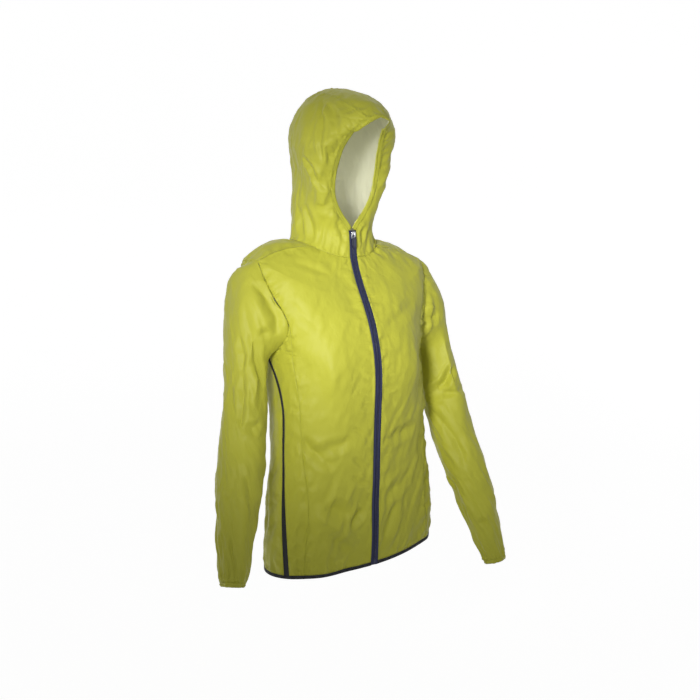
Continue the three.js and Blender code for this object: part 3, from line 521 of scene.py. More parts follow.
# Other creases, given one by one: on the back, on the far side and along the sleeve heads.
# Their places on the part are in millimetres, in the order across, back and up.
PLACED_CREASES = (
    ("far cheek fold", "hood", [(91, -48, 176), (80, -72, 150), (62, -85, 120)], 5, -2.6),
    ("far neck fold", "hood", [(76, -10, 88), (74, -30, 26)], 6, -2.6),
    ("rear hood fold, left", "hood", [(62, 52, 190), (66, 46, 120), (60, 40, 60)], 8, -2.2),
    ("rear hood fold, right", "hood", [(-66, 48, 200), (-62, 46, 130)], 8, -2.4),
    ("near sleeve head", "right", [(-192, 24, -28), (-198, -12, -30), (-194, -46, -34)], 13, 2.6),
    ("far sleeve head", "left", [(194, 24, -34), (200, -12, -36), (196, -46, -40)], 13, 2.6),
    ("far outer sleeve fold", "left", [(236, -60, -150), (243, -66, -200)], 8, -2.4),
    ("left side fold", "body", [(150, -30, -420), (142, -60, -540)], 10, -3.5),
    ("right side fold", "body", [(-150, -20, -400), (-160, -30, -540)], 10, -3.5),
    ("small of the back", "body", [(-60, 62, -330), (-20, 52, -372), (30, 56, -360)], 9, -3.8),
    ("right back pull", "body", [(-110, 60, -250), (-40, 72, -320)], 9, -3.2),
    ("left back pull", "body", [(104, 66, -240), (44, 72, -310)], 9, -3.2),
    ("right shoulder blade", "body", [(-96, 90, -130), (-50, 96, -210)], 9, -2.9),
    ("left shoulder blade", "body", [(100, 86, -130), (56, 96, -200)], 9, -2.9),
    ("right low back fold", "body", [(-60, 52, -430), (-80, 48, -550)], 11, -3.8),
    ("left low back fold", "body", [(50, 54, -420), (76, 48, -550)], 11, -3.8),
)

PHOTO_SIZE = 700  # pixels across the photo
FILM_WIDTH = 36  # width of the camera's film in millimetres


def toward_camera(stage):
    """The direction from the target to the camera."""
    level = math.cos(stage.elevation)
    across = math.sin(stage.azimuth) * level
    back = -math.cos(stage.azimuth) * level
    return Vector((across, back, math.sin(stage.elevation)))


def part_tree():
    """All the part's nodes, to find what the camera sees of them."""
    corners = []
    faces = []
    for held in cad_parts.values():
        first = len(corners)
        corners += [vertex.co.copy() for vertex in held.data.vertices]
        faces += [[first + place for place in face.vertices] for face in held.data.polygons]
    return BVHTree.FromPolygons(corners, faces)


def seen_places(tree, name, pixels):
    """The places on the part, in millimetres, that some pixels of the photo show."""
    stage = bpy.context.scene.jacket_stage
    back = toward_camera(stage)
    right = Vector((math.cos(stage.azimuth), math.sin(stage.azimuth), 0))
    up = back.cross(right)
    camera = Vector(stage.target) + back * stage.distance
    reach = PHOTO_SIZE * stage.lens / FILM_WIDTH
    places = []
    for across, down in pixels:
        aim = right * (across - PHOTO_SIZE / 2) - up * (down - PHOTO_SIZE / 2) - back * reach
        found = tree.ray_cast(camera, aim.normalized())[0]
        if found is None:
            raise RuntimeError(f"{name}: its pixel {across}, {down} shows no cloth")
        places.append(tuple(found / MM))
    return places


def creases_of(part):
    """The line, width and height of every crease of a part, in millimetres."""
    tree = part_tree()
    found = []
    for name, home, pixels, width, rise in SEEN_CREASES:
        if home == part:
            found.append((np.array(seen_places(tree, name, pixels)), width, rise))
    for _, home, places, width, rise in PLACED_CREASES:
        if home == part:
            found.append((np.array(places, float), width, rise))
    return found


RIDGE_SHARE = 0.42  # height of the ridges beside a trough, as a share of its depth
RIDGE_PLACE = 1.9  # how far they lie from its middle, in its widths
END_FADE = 4  # how fast the end of a crease fades, in millimetres


def crease_height(wall, part):
    """Height of the named creases of a part at every point of a wall, in millimetres."""
    mm = wall.points / MM
    height = np.zeros(len(mm))
    ragged = 2.2 * soft_noise(mm / 17, 91)
    for line, width, rise in creases_of(part):
        runs = np.linalg.norm(np.diff(line, axis=0), axis=1)
        total = runs.sum()
        low = line.min(axis=0) - 3 * width - 12
        high = line.max(axis=0) + 3 * width + 12
        near = np.flatnonzero(np.all((mm > low) & (mm < high), axis=1))
        best = np.full(len(near), np.inf)
        aside = np.zeros(len(near))
        place = np.zeros(len(near))
        for step in range(len(runs)):
            along = (line[step + 1] - line[step]) / runs[step]
            rest = mm[near] - line[step]
            share = np.clip(rest @ along, 0, runs[step])
            away = rest - share[:, None] * along
            across = np.cross(wall.out[near], along)
            flat = np.sum(away * across, axis=1)
            off = np.linalg.norm(away, axis=1)
            closer = off < best
            best[closer] = off[closer]
            aside[closer] = np.where(off > 1e-9, np.sign(flat) * np.hypot(flat, off * 0.2), 0)[closer]
            place[closer] = ((runs[:step].sum() + share) / total)[closer]
        reached = best < 3 * width + 12
        taper = np.clip(4.2 * place * (1 - place), 0, 1) ** 0.8
        reach = (aside + ragged[near]) / (width * (0.6 + 0.7 * taper))
        shape = np.exp(-np.abs(reach) ** 1.5)
        if rise < 0:
            shape -= RIDGE_SHARE * np.exp(-((np.abs(reach) - RIDGE_PLACE) ** 2))
        past = np.exp(-np.clip(best - 2.6 * width, 0, None) / END_FADE)
        height[near] += reached * rise * taper * shape * past
    return height


def noise_sheet(across, along, layer):
    """Places in a sheet of noise, one row for each point."""
    return np.stack([across, along, across * 0 + layer], axis=1)


def relief(wall, part, edge_style):
    """Height of the creases at every point of a wall, in metres.

    The sizes that places are divided by are how wide the noise is, in millimetres.
    """
    cloth = bpy.context.scene.jacket_cloth
    places = wall.points
    mm = places / MM
    across, along = garment_place(places, part)
    across = across / MM
    along = along / MM
    # broad unevenness
    height = cloth.drift * soft_noise(mm / [62, 62, 80], 3)
    height += 0.6 * cloth.drift * soft_noise(mm / 31, 5)
    # long soft ridges that lean both ways
    lean = 0.45 if part in SIDES else 0.3
    warp = 9 * soft_noise(mm / 55, 8)
    slanted = noise_sheet((across + lean * along + warp) / 24, (along - lean * across) / 95, 0)
    other = noise_sheet((across - lean * along + warp) / 30, (along + lean * across) / 80, 4)
    where = ease(soft_noise(mm / 120, 14), -0.35, 0.6)
    if part in SIDES:
        where = 0.35 + 0.65 * where
    elif part == "body":
        where = where * (0.35 + 0.65 * ease(-mm[:, 2], 250, 520))
    height += cloth.crease * where * (ridges(slanted, 21) - 0.25)
    calm = 0.4 if part == "body" else 0.8
    height += cloth.crease * 0.7 * (1 - 0.6 * where) * (ridges(other, 33) - 0.2) * calm
    # small crinkles, and longer ones that grow toward the hem
    height += cloth.crinkle * soft_noise(mm / [9, 9, 13], 41)
    long = soft_noise(noise_sheet((across + 0.35 * along + 0.5 * warp) / 10, along / 34, 7), 45)
    low = ease(-mm[:, 2], 180, 540) if part != "hood" else 0.5 + across * 0
    sharp = ridges(noise_sheet((across + 0.6 * along + 2 * warp) / 15, along / 42, 2), 46) - 0.3
    height += cloth.rumple * (long + 0.7 * sharp * where) * (0.3 + 0.7 * low)
    height += cloth.depth * MM * crease_height(wall, part)
    # puckers and the dip beside a seam
    near = wall.edge_distance / MM
    seed = soft_noise(mm / 40, 51)
    edge_mm = mm[wall.nearest_edge]
    slide = mm - np.array([0, 0, 0.5]) * near[:, None]
    wave = soft_noise(edge_mm / 6.2, 61) + 0.5 * soft_noise(edge_mm / 3.6, 62)
    drag = soft_noise((0.5 * edge_mm + 0.5 * slide) / 11, 63)
    height *= ease(near, 0, 6)
    strong = cloth.pucker * edge_style["pucker"] * (0.4 + 0.6 * ease(seed, -0.5, 0.5))
    height += strong * wave * ease(near, 0, 3.5) * np.exp(-near / 10)
    height += 1.5 * strong * drag * ease(near, 0, 8) * np.exp(-near / 22)
    height -= cloth.groove * edge_style["groove"] * np.exp(-((near / 2.4) ** 2))
    # gathers at the elastic of a cuff
    if edge_style.get("gather"):
        gap = along.max() - 4 - along
        folds = soft_noise(noise_sheet(across / 4.6, along / 40, 9), 71)
        height += cloth.gather * folds * np.exp(-np.clip(gap, 0, None) / 16)
    return height


def lay_texture(wall, part):
    """A texture map in metres of cloth, along and across the part."""
    across, along = garment_place(wall.points, part)
    u = across[wall.corner]
    first = np.searchsorted(wall.corner_face, np.arange(len(wall.skin)))
    base = u[first][wall.corner_face]
    turn = 2 * math.pi * ROUND[part]
    u = u - turn * np.round((u - base) / turn)
    v = along[wall.corner]
    layer = wall.mesh.uv_layers.new(name="Cloth")
    layer.data.foreach_set("uv", np.stack([u, v], axis=1).ravel().astype(np.float32))


def edge_attribute(wall):
    """Stores the distance from the piece's edge for its material."""
    spread = wall.mesh.attributes.new("edge_distance", "FLOAT", "POINT")
    spread.data.foreach_set("value", wall.edge_distance.astype(np.float32))


# Where the shoulders are rounded: how far out, back and up the place lies, how wide
# it is, and how far it moves out and up, all in metres.
SHOULDER_MOVES = (
    ((0.187, 0.002, -0.016), 0.026, (-0.004, -0.003)),
    ((0.200, 0.010, -0.048), 0.028, (0.0068, 0.001)),
)


def ease_shoulders(wall):
    """Rounds the tip of each shoulder, the same way for all pieces that meet there."""
    start = wall.points.copy()
    for sign in (-1, 1):
        for (out, back, up), width, (move_out, move_up) in SHOULDER_MOVES:
            place = np.array([sign * out, back, up])
            near = np.exp(-((np.linalg.norm(start - place, axis=1) / width) ** 2))
            wall.points += near[:, None] * np.array([sign * move_out, 0, move_up])


def cloth_piece(node, part, level, edge_style, skins):
    """Builds the soft copy of one cloth node."""
    piece = merged_copy(node, "cloth_" + node)
    subdivide(piece, level)
    wall = Wall(piece)
    lay_texture(wall, part)
    edge_attribute(wall)
    height = relief(wall, part, edge_style)
    ease_shoulders(wall)
    wall.move(height)
    for material in skins:
        piece.data.materials.append(material)
    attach(piece, "jacket")
    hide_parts(node)
    return piece


# Materials


def group_socket(tree, name, direction, value=0.0):
    """Adds a number socket to a node group."""
    socket = tree.interface.new_socket(name=name, in_out=direction, socket_type="NodeSocketFloat")
    socket.default_value = value


def node(tree, kind, **values):
    """Adds a node and sets its named inputs and settings."""
    made = tree.nodes.new(kind)
    for name, value in values.items():
        if name in made.inputs:
            made.inputs[name].default_value = value
        else:
            setattr(made, name, value)
    return made


def maths(tree, operation, first, second=None, third=None):
    """A math node whose inputs are sockets or numbers. Gives its output."""
    made = tree.nodes.new("ShaderNodeMath")
    made.operation = operation
    for place, value in enumerate((first, second, third)):
        if value is None:
            continue
        if isinstance(value, (int, float)):
            made.inputs[place].default_value = value
        else:
            tree.links.new(value, made.inputs[place])
    return made.outputs[0]


def weave_group():
    """Ripstop weave: fine threads with a heavier thread every few millimetres."""
    tree = bpy.data.node_groups.new("Ripstop weave", "ShaderNodeTree")
    group_socket(tree, "Thread", "INPUT", value=0.0004)
    group_socket(tree, "Grid", "INPUT", value=0.0045)
    group_socket(tree, "Height", "OUTPUT")
    group_socket(tree, "Grid mask", "OUTPUT")
    given = tree.nodes.new("NodeGroupInput")
    result = tree.nodes.new("NodeGroupOutput")
    uv = node(tree, "ShaderNodeUVMap", uv_map="Cloth")
    split = tree.nodes.new("ShaderNodeSeparateXYZ")
    tree.links.new(uv.outputs[0], split.inputs[0])
    waves = []
    lines = []
    for axis in ("X", "Y"):
        count = maths(tree, "DIVIDE", split.outputs[axis], given.outputs["Thread"])
        waves.append(maths(tree, "SINE", maths(tree, "MULTIPLY", count, 2 * math.pi)))
        cell = maths(tree, "DIVIDE", split.outputs[axis], given.outputs["Grid"])
        away = maths(tree, "ABSOLUTE", maths(tree, "SUBTRACT", maths(tree, "FRACT", cell), 0.5))
        lines.append(maths(tree, "GREATER_THAN", away, 0.455))
    both = maths(tree, "MULTIPLY", waves[0], waves[1])
    line = maths(tree, "MAXIMUM", lines[0], lines[1])
    tree.links.new(line, result.inputs["Grid mask"])
    tree.links.new(maths(tree, "MULTIPLY_ADD", both, 0.35, line), result.inputs["Height"])
    return tree


def wrinkle_group():
    """Small crinkles of thin nylon, as a height and a mask of their crests."""
    tree = bpy.data.node_groups.new("Nylon crinkle", "ShaderNodeTree")
    group_socket(tree, "Scale", "INPUT", value=90.0)
    group_socket(tree, "Height", "OUTPUT")
    group_socket(tree, "Crest", "OUTPUT")
    given = tree.nodes.new("NodeGroupInput")
    result = tree.nodes.new("NodeGroupOutput")
    place = tree.nodes.new("ShaderNodeTexCoord")
    stretched = node(tree, "ShaderNodeMapping")
    stretched.inputs["Scale"].default_value = (1.0, 1.0, 0.55)
    tree.links.new(place.outputs["Object"], stretched.inputs["Vector"])
    fine = node(tree, "ShaderNodeTexNoise", Detail=3.0, Roughness=0.55, Distortion=0.8)
    tree.links.new(stretched.outputs[0], fine.inputs["Vector"])
    tree.links.new(given.outputs["Scale"], fine.inputs["Scale"])
    fold = maths(tree, "ABSOLUTE", maths(tree, "SUBTRACT", fine.outputs[0], 0.5))
    crest = maths(tree, "SUBTRACT", 1.0, maths(tree, "MULTIPLY", fold, 5.0))
    crest_clear = maths(tree, "MAXIMUM", crest, 0.0)
    tree.links.new(maths(tree, "MULTIPLY", crest_clear, crest_clear), result.inputs["Height"])
    tree.links.new(crest_clear, result.inputs["Crest"])
    return tree


def shared_groups():
    """The node groups that several materials use."""
    return {
        "weave": bpy.data.node_groups.get("Ripstop weave") or weave_group(),
        "crinkle": bpy.data.node_groups.get("Nylon crinkle") or wrinkle_group(),
    }


def new_material(name):
    """An empty material with a Principled shader. Gives the material, its tree and shader."""
    material = bpy.data.materials.new(name)
    material.use_nodes = True
    tree = material.node_tree
    shader = tree.nodes["Principled BSDF"]
    return material, tree, shader


def bumped(tree, shader, height, distance, strength, before=None):
    """Adds a bump of a height socket in front of the shader's normal."""
    bump = tree.nodes.new("ShaderNodeBump")
    bump.inputs["Strength"].default_value = strength
    bump.inputs["Distance"].default_value = distance
    tree.links.new(height, bump.inputs["Height"])
    if before is not None:
        tree.links.new(before.outputs[0], bump.inputs["Normal"])
    tree.links.new(bump.outputs[0], shader.inputs["Normal"])
    return bump


def mixed(tree, share, first, second):
    """A colour mix of two colours by a share socket. Gives the result."""
    mix = tree.nodes.new("ShaderNodeMix")
    mix.data_type = "RGBA"
    tree.links.new(share, mix.inputs["Factor"])
    for slot, colour in ((6, first), (7, second)):
        if isinstance(colour, tuple):
            mix.inputs[slot].default_value = (*colour, 1.0)
        else:
            tree.links.new(colour, mix.inputs[slot])
    return mix.outputs[2]


def nylon(name, pale, deep, seam, roughness, weave=0.00005, crinkle=0.00025, sheen=0.1):
    """Thin woven nylon: soft tone changes, ripstop grid, crinkles and a darker line of painted shade
    along the seams.
    """
    groups = shared_groups()
    material, tree, shader = new_material(name)
    place = tree.nodes.new("ShaderNodeTexCoord")
    cloud = node(tree, "ShaderNodeTexNoise", Scale=7.0, Detail=2.0, Roughness=0.5)
    tree.links.new(place.outputs["Object"], cloud.inputs["Vector"])
    base = mixed(tree, cloud.outputs[0], deep, pale)
    weave_node = tree.nodes.new("ShaderNodeGroup")
    weave_node.node_tree = groups["weave"]
    crinkle_node = tree.nodes.new("ShaderNodeGroup")
    crinkle_node.node_tree = groups["crinkle"]
    # Painted shade: within 1.4 mm of a piece's edge the colour is mixed toward the darker seam colour,
    # for the shade in the seam's dip.
    gap = node(tree, "ShaderNodeAttribute", attribute_name="edge_distance")
    near = maths(tree, "MULTIPLY", gap.outputs["Fac"], 1 / (1.4 * MM))
    seam_shade_mask = maths(tree, "SUBTRACT", 1.0, maths(tree, "MINIMUM", near, 1.0))
    seam_shaded = mixed(tree, maths(tree, "MULTIPLY", seam_shade_mask, 0.14), base, seam)
    grid = maths(tree, "MULTIPLY", weave_node.outputs["Grid mask"], 0.10)
    tree.links.new(mixed(tree, grid, seam_shaded, deep), shader.inputs["Base Color"])
    gloss = maths(tree, "MULTIPLY_ADD", cloud.outputs[0], 0.12, roughness - 0.06)
    tree.links.new(gloss, shader.inputs["Roughness"])
    shader.inputs["Specular IOR Level"].default_value = 0.22
    shader.inputs["Sheen Weight"].default_value = sheen
    shader.inputs["Sheen Roughness"].default_value = 0.4
    first = bumped(tree, shader, crinkle_node.outputs["Height"], crinkle, 0.5)
    bumped(tree, shader, weave_node.outputs["Height"], weave, 0.6, first)
    return material


def elastic(name, colour, rib, roughness=0.7):
    """Narrow woven binding with fine ribs along it, their crests painted lighter as highlights."""
    material, tree, shader = new_material(name)
    uv = node(tree, "ShaderNodeUVMap", uv_map="Cloth")
    wave = node(tree, "ShaderNodeTexWave", Scale=1 / rib, Distortion=0.4, Detail=1.0, bands_direction="X")
    tree.links.new(uv.outputs[0], wave.inputs["Vector"])
    # Painted light and shade: each rib is painted lighter on its crest and darker in its groove, in step
    # with its bump.
    light = tuple(min(1.0, c * 1.8 + 0.004) for c in colour)
    tree.links.new(mixed(tree, wave.outputs["Fac"], colour, light), shader.inputs["Base Color"])
    shader.inputs["Roughness"].default_value = roughness
    shader.inputs["Specular IOR Level"].default_value = 0.2
    bumped(tree, shader, wave.outputs["Fac"], 0.00012, 0.6)
    return material


def plain(name, colour, roughness, metallic=0.0, grain=0.0):
    """A plain moulded or cast surface with a little uneven gloss."""
    material, tree, shader = new_material(name)
    shader.inputs["Base Color"].default_value = (*colour, 1.0)
    shader.inputs["Metallic"].default_value = metallic
    if not metallic:
        shader.inputs["Specular IOR Level"].default_value = 0.25
    place = tree.nodes.new("ShaderNodeTexCoord")
    mottle = node(tree, "ShaderNodeTexNoise", Scale=400.0, Detail=2.0)
    tree.links.new(place.outputs["Object"], mottle.inputs["Vector"])
    gloss = maths(tree, "MULTIPLY_ADD", mottle.outputs[0], 0.16, roughness - 0.08)
    tree.links.new(gloss, shader.inputs["Roughness"])
    if grain:
        bumped(tree, shader, mottle.outputs[0], grain, 0.5)
    return material


LIME_PALE = (0.600, 0.597, 0.060)
LIME_DEEP = (0.535, 0.538, 0.060)
# Darker lime painted along the seams as their shade.
LIME_SEAM_SHADE = (0.20, 0.225, 0.015)
REVERSE_PALE = (0.66, 0.66, 0.50)
REVERSE_DEEP = (0.58, 0.58, 0.43)
CHARCOAL = (0.020, 0.021, 0.024)
NAVY = (0.026, 0.030, 0.068)


def shell_skins():
    """Outer, inner and rim materials of the lime shell."""
    found = bpy.data.materials.get("Lime nylon")
    if found:
        return [found, bpy.data.materials["Lime nylon reverse"], found]
    outer = nylon("Lime nylon", LIME_PALE, LIME_DEEP, LIME_SEAM_SHADE, 0.46)
    # The reverse side gets a darker painted seam shade too, its third colour.
    inner = nylon("Lime nylon reverse", REVERSE_PALE, REVERSE_DEEP, (0.3, 0.3, 0.18), 0.6, sheen=0.05)
    return [outer, inner, outer]


def binding_skins():
    """The charcoal stretch cloth of the side stripes and the hem."""
    found = bpy.data.materials.get("Charcoal stretch") or elastic("Charcoal stretch", CHARCOAL, 0.05)
    return [found, found, found]


# Operators


PLAIN_EDGE = {"pucker": 1.0, "groove": 1.0}
STILL_EDGE = {"pucker": 0.5, "groove": 0.3}
SLEEVE_EDGE = {"pucker": 1.0, "groove": 0.8, "gather": True}
CUFF_EDGE = {"pucker": 0.8, "groove": 0.2, "gather": True}


class JACKET_OT_body(bpy.types.Operator):
    """Build the fronts, side fronts, side stripes and back"""

    bl_idname = "jacket.body"
    bl_label = "Build body panels"

    def execute(self, context):
        cloth = context.scene.jacket_cloth
        skins = shell_skins()
        for side in SIDES:
            cloth_piece("front_" + side, "body", cloth.panel_level, PLAIN_EDGE, skins)
            cloth_piece("side_front_" + side, "body", cloth.panel_level, PLAIN_EDGE, skins)
            stripe = "side_stripe_" + side
            cloth_piece(stripe, "body", cloth.panel_level, STILL_EDGE, binding_skins())
        cloth_piece("back", "body", cloth.panel_level, PLAIN_EDGE, skins)
        return {"FINISHED"}


class JACKET_OT_sleeves(bpy.types.Operator):
    """Build the sleeves and their cuff bands"""

    bl_idname = "jacket.sleeves"
    bl_label = "Build sleeves"

    def execute(self, context):
        cloth = context.scene.jacket_cloth
        for side in SIDES:
            cloth_piece("sleeve_" + side, side, cloth.panel_level, SLEEVE_EDGE, shell_skins())
            cloth_piece("cuff_band_" + side, side, cloth.band_level, CUFF_EDGE, shell_skins())
        return {"FINISHED"}


class JACKET_OT_hood(bpy.types.Operator):
    """Build the hood and its gathered edge band"""

    bl_idname = "jacket.hood"
    bl_label = "Build hood"

    def execute(self, context):
        cloth = context.scene.jacket_cloth
        for name in ("hood_side_right", "hood_side_left", "hood_crown"):
            cloth_piece(name, "hood", cloth.panel_level, PLAIN_EDGE, shell_skins())
        cloth_piece("hood_edge_band", "hood", cloth.band_level, PLAIN_EDGE, shell_skins())
        return {"FINISHED"}


class JACKET_OT_bands(bpy.types.Operator):
    """Build the hem binding and the zip tapes"""

    bl_idname = "jacket.bands"
    bl_label = "Build hem and tapes"

    def execute(self, context):
        cloth = context.scene.jacket_cloth
        cloth_piece("hem_binding", "body", cloth.band_level, STILL_EDGE, binding_skins())
        tape = elastic("Zip tape weave", NAVY, 0.02)
        for side in SIDES:
            name = "zip_tape_" + side
            cloth_piece(name, "body", cloth.band_level, STILL_EDGE, [tape] * 3)
        return {"FINISHED"}


def zip_line():
    """Points down the middle of the coil's front, and the outward direction at each."""
    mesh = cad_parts["zip_coil"].data
    points = np.array([corner.co for corner in mesh.vertices])
    mesh_normals = np.array([face.normal for face in mesh.polygons])
    centres = np.array([face.center for face in mesh.polygons])
    front = (mesh_normals[:, 1] < -0.5) & (np.abs(mesh_normals[:, 0]) < 0.5)
    order = np.argsort(centres[front][:, 2])
    line = centres[front][order]
    out = mesh_normals[front][order]
    heights = np.linspace(points[:, 2].min() + 0.002, points[:, 2].max() - 0.001, 160)
    middle = np.stack([np.interp(heights, line[:, 2], line[:, axis]) for axis in range(3)], axis=1)
    away = np.stack([np.interp(heights, line[:, 2], out[:, axis]) for axis in range(3)], axis=1)
    return middle, unit(away)


def bar(body, centre, along, out, length, width, height):
    """A low rounded bar lying on a surface, fourteen faces."""
    side = along.cross(out).normalized()
    rows = []
    for step, scale in ((-0.5, 0.35), (-0.3, 1.0), (0.3, 1.0), (0.5, 0.35)):
        base = centre + along * (length * step)
        ring = [
            base - side * (width * scale / 2),
            base + out * (height * scale) - side * (width * scale / 4),
            base + out * (height * scale) + side * (width * scale / 4),
            base + side * (width * scale / 2),
        ]
        rows.append([body.verts.new(point) for point in ring])
    for first, second in zip(rows, rows[1:]):
        for k in range(4):
            body.faces.new((first[k], first[(k + 1) % 4], second[(k + 1) % 4], second[k]))
    body.faces.new(rows[0][::-1])
    body.faces.new(rows[-1])


def stitch(body, centre, along, out, length, thickness):
    """One stitch lying on the cloth, raised in the middle, eight faces."""
    side = along.cross(out).normalized()
    rows = []
    for step, scale in ((-0.5, 0.35), (0.0, 1.0), (0.5, 0.35)):
        base = centre + along * (length * step)
        half = side * (thickness * scale / 2)
        ring = [base - half, base + out * (thickness * scale), base + half]
        rows.append([body.verts.new(point) for point in ring])
    for first, second in zip(rows, rows[1:]):
        for k in range(3):
            body.faces.new((first[k], first[(k + 1) % 3], second[(k + 1) % 3], second[k]))
    body.faces.new(rows[0][::-1])
    body.faces.new(rows[-1])


def finish_piece(body, name, material, body_name="jacket"):
    """Turns a bmesh into a piece that rides on a body."""
    bmesh.ops.recalc_face_normals(body, faces=body.faces)
    mesh = bpy.data.meshes.new(name)
    body.to_mesh(mesh)
    body.free()
    for face in mesh.polygons:
        face.use_smooth = True
    mesh.materials.append(material)
    piece = bpy.data.objects.new(name, mesh)
    bpy.context.scene.collection.objects.link(piece)
    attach(piece, body_name)
    return piece


class JACKET_OT_zip(bpy.types.Operator):
    """Build the zip's coil over its core strip"""

    bl_idname = "jacket.zip"
    bl_label = "Build zip coil"

    def execute(self, context):
        made = context.scene.jacket_zip
        material = plain("Navy coil", NAVY, 0.32)
        core = merged_copy("zip_coil", "zip_core")
        subdivide(core, 1)
        for _ in range(3):
            core.data.materials.append(material)
        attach(core, "jacket")
        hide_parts("zip_coil")
        middle, away = zip_line()
        steps = np.linalg.norm(np.diff(middle, axis=0), axis=1)
        run = np.concatenate([[0], np.cumsum(steps)])
        body = bmesh.new()
        count = int(run[-1] / made.pitch)
        for k in range(count * 2):
            at = k * made.pitch / 2
            point = Vector([float(np.interp(at, run, middle[:, axis])) for axis in range(3)])
            out = Vector([float(np.interp(at, run, away[:, axis])) for axis in range(3)]).normalized()
            side = 1 if k % 2 else -1
            across = Vector((side, 0, 0)) + Vector((0, 0, 0.12))
            centre = point + Vector((side * 0.55 * MM, 0, 0)) - out * (0.1 * MM)
            bar(body, centre, across.normalized(), out, made.reach, made.bar, made.proud)
        finish_piece(body, "zip_coil_turns", material)
        return {"FINISHED"}


class JACKET_OT_slider(bpy.types.Operator):
    """Build the slider, its bridge and the pull tab"""

    bl_idname = "jacket.slider"
    bl_label = "Build slider"

    def execute(self, context):
        metal = plain("Silver slider", (0.62, 0.63, 0.65), 0.28, 1.0, 0.00002)
        dark_metal = plain("Dark pull tab", (0.075, 0.08, 0.11), 0.34, 1.0, 0.00002)
        rides = {"zip_slider": "jacket", "zip_bridge": "jacket", "zip_pull_tab": "pull_tab"}
        for name, body_name in rides.items():
            body = bmesh.new()
            body.from_mesh(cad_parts[name].data)
            bmesh.ops.remove_doubles(body, verts=body.verts, dist=1e-6)
            flat = math.radians(2)
            bmesh.ops.dissolve_limit(body, angle_limit=flat, verts=body.verts, edges=body.edges)
            sharp = [edge for edge in body.edges if edge.calc_face_angle(0) > math.radians(35)]
            bmesh.ops.bevel(
                body,
                geom=sharp,
                offset=0.35 * MM,
                segments=3,
                affect="EDGES",
                profile=0.6,
                clamp_overlap=True,
            )
            finish = dark_metal if name == "zip_pull_tab" else metal
            piece = finish_piece(body, "metal_" + name, finish, body_name)
            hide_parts(name)
        return {"FINISHED"}


def edge_lines(wall):
    """The ordered edge lines of a wall's outer skin, as lists of point indices."""
    mesh = wall.mesh
    keys = {}
    for face in mesh.polygons:
        for key in face.edge_keys:
            keys.setdefault(key, set()).add(int(wall.skin[face.index]))
    linked = {}
    for (first, second), skins in keys.items():
        if skins == {0, 2}:
            linked.setdefault(first, []).append(second)
            linked.setdefault(second, []).append(first)
    lines = []
    left = set(linked)
    while left:
        start = left.pop()
        line = [start]
        while True:
            step = [other for other in linked[line[-1]] if other in left]
            if not step:
                break
            left.discard(step[0])
            line.append(step[0])
        lines.append(line)
    return lines


class JACKET_OT_stitching(bpy.types.Operator):
    """Sew a row of stitches just inside the edges of the shell pieces"""

    bl_idname = "jacket.stitching"
    bl_label = "Sew stitches"

    def execute(self, context):
        thread = context.scene.jacket_thread
        lime = plain("Lime thread", (0.50, 0.53, 0.03), 0.6)
        body = bmesh.new()
        for name in SEWN:
            piece = bpy.data.objects.get("cloth_" + name)
            if piece is None:
                raise RuntimeError(f"{name} has to be built before it is sewn")
            wall = Wall(piece)
            faces = [tuple(face.vertices) for face in piece.data.polygons if wall.skin[face.index] == 0]
            tree = BVHTree.FromPolygons([tuple(point) for point in wall.points], faces)
            for line in edge_lines(wall):
                self.sew(body, wall.points[line], tree, thread)
        finish_piece(body, "stitches_lime", lime)
        return {"FINISHED"}

    def sew(self, body, line, tree, thread):
        """One row of stitches a little inside an edge line."""
        closed = np.vstack([line, line[:1]])
        if np.linalg.norm(closed[-1] - closed[-2]) > 0.02:
            closed = line
        run = np.concatenate([[0], np.cumsum(np.linalg.norm(np.diff(closed, axis=0), axis=1))])
        count = int(run[-1] / thread.pitch)
        stops = np.arange(count + 2) * thread.pitch
        places = np.stack([np.interp(stops, run, closed[:, axis]) for axis in range(3)], axis=1)
        for k in range(1, count):
            point = Vector(places[k])
            along = (Vector(places[k + 1]) - Vector(places[k - 1])).normalized()
            found = tree.find_nearest(point)
            if found[0] is None:
                continue
            inward = along.cross(found[1]).normalized()
            best = None
            for sign in (1, -1):
                aim = point + inward * (sign * thread.inset)
                hit = tree.find_nearest(aim)
                away = (hit[0] - aim).length
                if best is None or away < best[0]:
                    best = (away, hit)
            if best[0] > thread.inset * 0.5:
                continue
            spot, out = best[1][0], best[1][1]
            flat = (along - out * along.dot(out)).normalized()
            stitch(body, spot - out * (0.1 * MM), flat, out, thread.stitch, thread.thickness)


SEWN = (
    "front_right",
    "front_left",
    "side_front_right",
    "side_front_left",
    "back",
    "sleeve_right",
    "sleeve_left",
    "cuff_band_right",
    "cuff_band_left",
    "hood_side_right",
    "hood_side_left",
    "hood_crown",
    "hood_edge_band",
)


# Radius and height of the floor and the wall that it curves up into, in metres.
FLOOR_PROFILE = (
    (0.05, 0.0),
    (1.5, 0.0),
    (3.0, 0.0),
    (3.7, 0.12),
    (4.2, 0.5),
    (4.4, 1.2),
    (4.45, 3.0),
    (4.45, 5.0),
)
FLOOR_STEPS = 64


def lamp(name, place, aim, width, power):
    """A square area lamp that points at a place."""
    data = bpy.data.lights.new(name, "AREA")
    data.shape = "SQUARE"
    data.size = width
    data.energy = power
    made = bpy.data.objects.new(name, data)
    bpy.context.scene.collection.objects.link(made)
    made.location = place
    made.rotation_euler = (Vector(aim) - Vector(place)).to_track_quat("-Z", "Y").to_euler()
    return made


